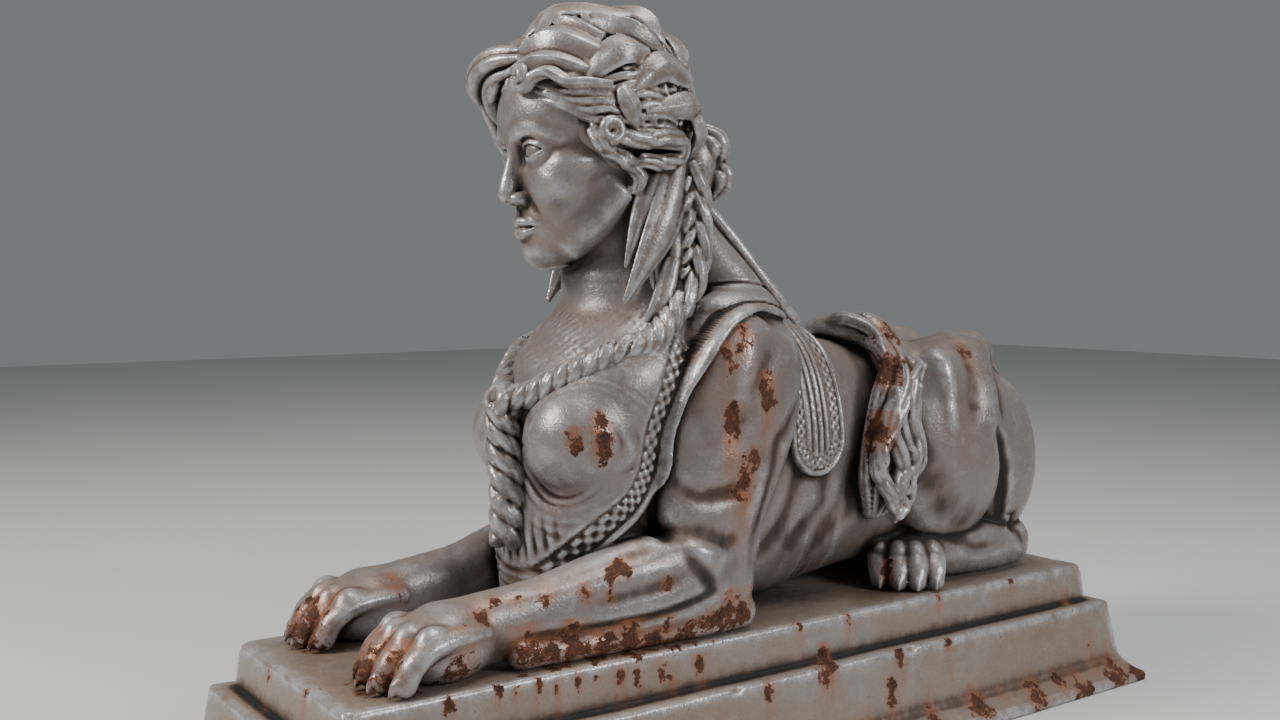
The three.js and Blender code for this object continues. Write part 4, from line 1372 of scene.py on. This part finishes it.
# Places darkened with painted shade, under and behind parts and round the feet on the slab, alike on both
# sides: centre and radius.
PAINTED_SHADE_SPOTS = [
    [146, 276, 252, 40], [150, 290, 205, 46], [152, 306, 165, 50], [150, 332, 128, 50], [148, 380, 96, 50],
    [146, 440, 92, 44], [129, 488, 92, 44], [161, 463, 205, 30], [148, 477, 170, 34], [142, 486, 136, 40],
    [118, 284, 250, 44], [108, 290, 200, 46], [100, 290, 150, 50], [96, 262, 40, 70], [120, 300, 22, 50],
    [150, -440, 26, 34], [70, -300, 120, 60], [130, -230, 150, 60], [0, -300, 200, 50],
    [60, -340, 210, 40], [20, -356, 250, 36], [110, 60, 90, 60], [60, 120, 60, 90], [0, 60, 40, 120],
    [110, -120, 470, 44], [70, -40, 440, 60], [0, -60, 430, 80], [-80, -560, 20, 40], [100, -560, 20, 44],
]


def painted_shade_over(points):
    """How much painted shade each point gets, on both sides alike."""
    folded = np.abs(points[:, 0])
    painted_shade = np.zeros(len(points))
    for x, y, z, radius in PAINTED_SHADE_SPOTS:
        gap = np.column_stack([folded - abs(x), points[:, 1] - y, points[:, 2] - z])
        painted_shade = np.maximum(painted_shade, 1 - np.linalg.norm(gap, axis=1) / radius)
    return painted_shade


def rust_over(points):
    """How rusty, and how stained below a rust patch, each point is."""
    rust = np.zeros(len(points))
    stain = np.zeros(len(points))
    for x, y, z, radius, run in RUST_SPOTS:
        gap = points - np.array([x, y, z])
        tall = gap * [1.15, 1.15, 0.72]
        rust = np.maximum(rust, 1 - np.linalg.norm(tall, axis=1) / (0.95 * radius))
        beside_it = np.linalg.norm(gap[:, :2], axis=1) / (0.85 * radius)
        below = np.clip(-gap[:, 2], 0, None) / max(run, 1)
        run_down = np.clip(1 - beside_it, 0, 1) * np.clip(1 - below, 0, 1) * (gap[:, 2] < radius)
        stain = np.maximum(stain, run_down)
    return np.clip(rust, 0, 1) ** 0.8, np.clip(stain, 0, 1)


def mesh_of(name, points, faces):
    mesh = bpy.data.meshes.new(name)
    mesh.vertices.add(len(points))
    mesh.vertices.foreach_set("co", np.ravel(points).astype(np.float32))
    mesh.loops.add(faces.size)
    mesh.loops.foreach_set("vertex_index", faces.ravel().astype(np.int32))
    mesh.polygons.add(len(faces))
    mesh.polygons.foreach_set("loop_start", np.arange(0, faces.size, faces.shape[1]).astype(np.int32))
    mesh.update(calc_edges=True)
    return mesh


def thinned(mesh, most):
    """The mesh with its flatter faces merged until it has no more than so many triangles."""
    model = bpy.data.objects.new("thinning", mesh)
    bpy.context.scene.collection.objects.link(model)
    modifier = model.modifiers.new("thin", "DECIMATE")
    modifier.ratio = min(1, most / (2 * len(mesh.polygons)))
    modifier.use_collapse_triangulate = True
    result = bpy.data.meshes.new_from_object(model.evaluated_get(bpy.context.evaluated_depsgraph_get()))
    bpy.data.objects.remove(model)
    return result


def piece(name, mesh, masks, material, node):
    for key, values in masks.items():
        layer = mesh.attributes.new(key, "FLOAT", "POINT")
        layer.data.foreach_set("value", np.asarray(values, np.float32))
    mesh.shade_smooth()
    mesh.materials.clear()
    mesh.materials.append(material)
    thing = bpy.data.objects.new(name, mesh)
    bpy.context.scene.collection.objects.link(thing)
    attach(thing, "root")
    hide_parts(node)


def places_of(mesh):
    flat = np.zeros(3 * len(mesh.vertices), np.float32)
    mesh.vertices.foreach_get("co", flat)
    return flat.reshape(-1, 3)


painted = weathered_paint("worn grey paint on cast iron", rgb(130, 122, 120), rgb(124, 109, 98))
plinth_paint = weathered_paint("weathered paint on the plinth", rgb(140, 131, 124), rgb(134, 116, 100))

COARSE = 1.0
for name, carve_it, step, most in (
    ("forequarters", forequarters, 3.0, 190000),
    ("hindquarters", hindquarters, 3.4, 160000),
    ("head_and_neck", head_and_neck, 1.6, 190000),
    ("wreathed_hair", wreathed_hair, 2.0, 190000),
    ("braids", braids, 2.0, 140000),
    ("base", plinth, 4.0, 60000),
):
    clay = carve_it(step * COARSE)
    points, faces = clay.skin()
    mesh = thinned(mesh_of(name, points, faces), most)
    points = places_of(mesh)
    rust, stain = rust_over(points)
    # The hollow masks and the shade spots carry painted shade into the finish; rust and stain are real rust.
    masks = dict(zip(("hollow", "broad_hollow", "depth"), clay.hollows(points)), rust=rust, stain=stain,
                 painted_shade=painted_shade_over(points))
    placed = (points + [0, 0, SLAB_TOP + (0 if name == "base" else SEAT_GAP)]) / 1000
    mesh.vertices.foreach_set("co", placed.ravel().astype(np.float32))
    if name == "base":
        piece(name, mesh, masks, plinth_paint, "plinth")
    else:
        piece(name, mesh, masks, painted, "sphinx_figure")

# Floor, light and camera

FLOOR_REACH = 9
LENS = 36.56
CAMERA_PLACE = (1.5021, -1.1933, 0.6718)
CAMERA_DROP = 3.72  # degrees below level
CAMERA_TURN = 54.66  # degrees

floor_mesh = bpy.data.meshes.new("floor")
floor_corners = [(FLOOR_REACH * x, FLOOR_REACH * y, 0) for x, y in ((-1, -1), (1, -1), (1, 1), (-1, 1))]
floor_mesh.from_pydata(floor_corners, [], [(0, 1, 2, 3)])
floor = bpy.data.objects.new("floor", floor_mesh)
bpy.context.scene.collection.objects.link(floor)
floor_finish = bpy.data.materials.new("pale floor")
floor_finish.use_nodes = True
floor_finish.node_tree.nodes["Principled BSDF"].inputs["Base Color"].default_value = (0.62, 0.62, 0.61, 1)
floor_finish.node_tree.nodes["Principled BSDF"].inputs["Roughness"].default_value = 0.9
floor_mesh.materials.append(floor_finish)

world = bpy.data.worlds.new("studio")
world.use_nodes = True
world.node_tree.nodes["Background"].inputs["Color"].default_value = (0.62, 0.64, 0.65, 1)
world.node_tree.nodes["Background"].inputs["Strength"].default_value = 0.3
bpy.context.scene.world = world


def soft_light(name, place, target, size, power, tint):
    data = bpy.data.lights.new(name, "AREA")
    data.shape = "DISK"
    data.size = size
    data.energy = power
    data.color = tint
    lamp = bpy.data.objects.new(name, data)
    lamp.location = place
    way = np.array(target) - np.array(place)
    level = math.hypot(way[0], way[1])
    lamp.rotation_euler = (math.atan2(level, -way[2]), 0, math.atan2(way[1], way[0]) - math.pi / 2)
    bpy.context.scene.collection.objects.link(lamp)


soft_light("key", (-0.6, -3.2, 2.8), (0, 0, 0.5), 1.3, 155, (1.0, 0.98, 0.95))
soft_light("fill", (3.4, 1.4, 2.0), (0, 0.2, 0.5), 1.4, 85, (0.95, 0.97, 1.0))
soft_light("top", (0.6, 0.3, 3.6), (0, 0, 0.6), 1.6, 60, (1, 1, 1))

camera_data = bpy.data.cameras.new("camera")
camera_data.sensor_width = 36
camera_data.lens = LENS
camera = bpy.data.objects.new("camera", camera_data)
camera.location = CAMERA_PLACE
camera.rotation_euler = (math.radians(90 - CAMERA_DROP), 0, math.radians(CAMERA_TURN))
bpy.context.scene.collection.objects.link(camera)
bpy.context.scene.camera = camera
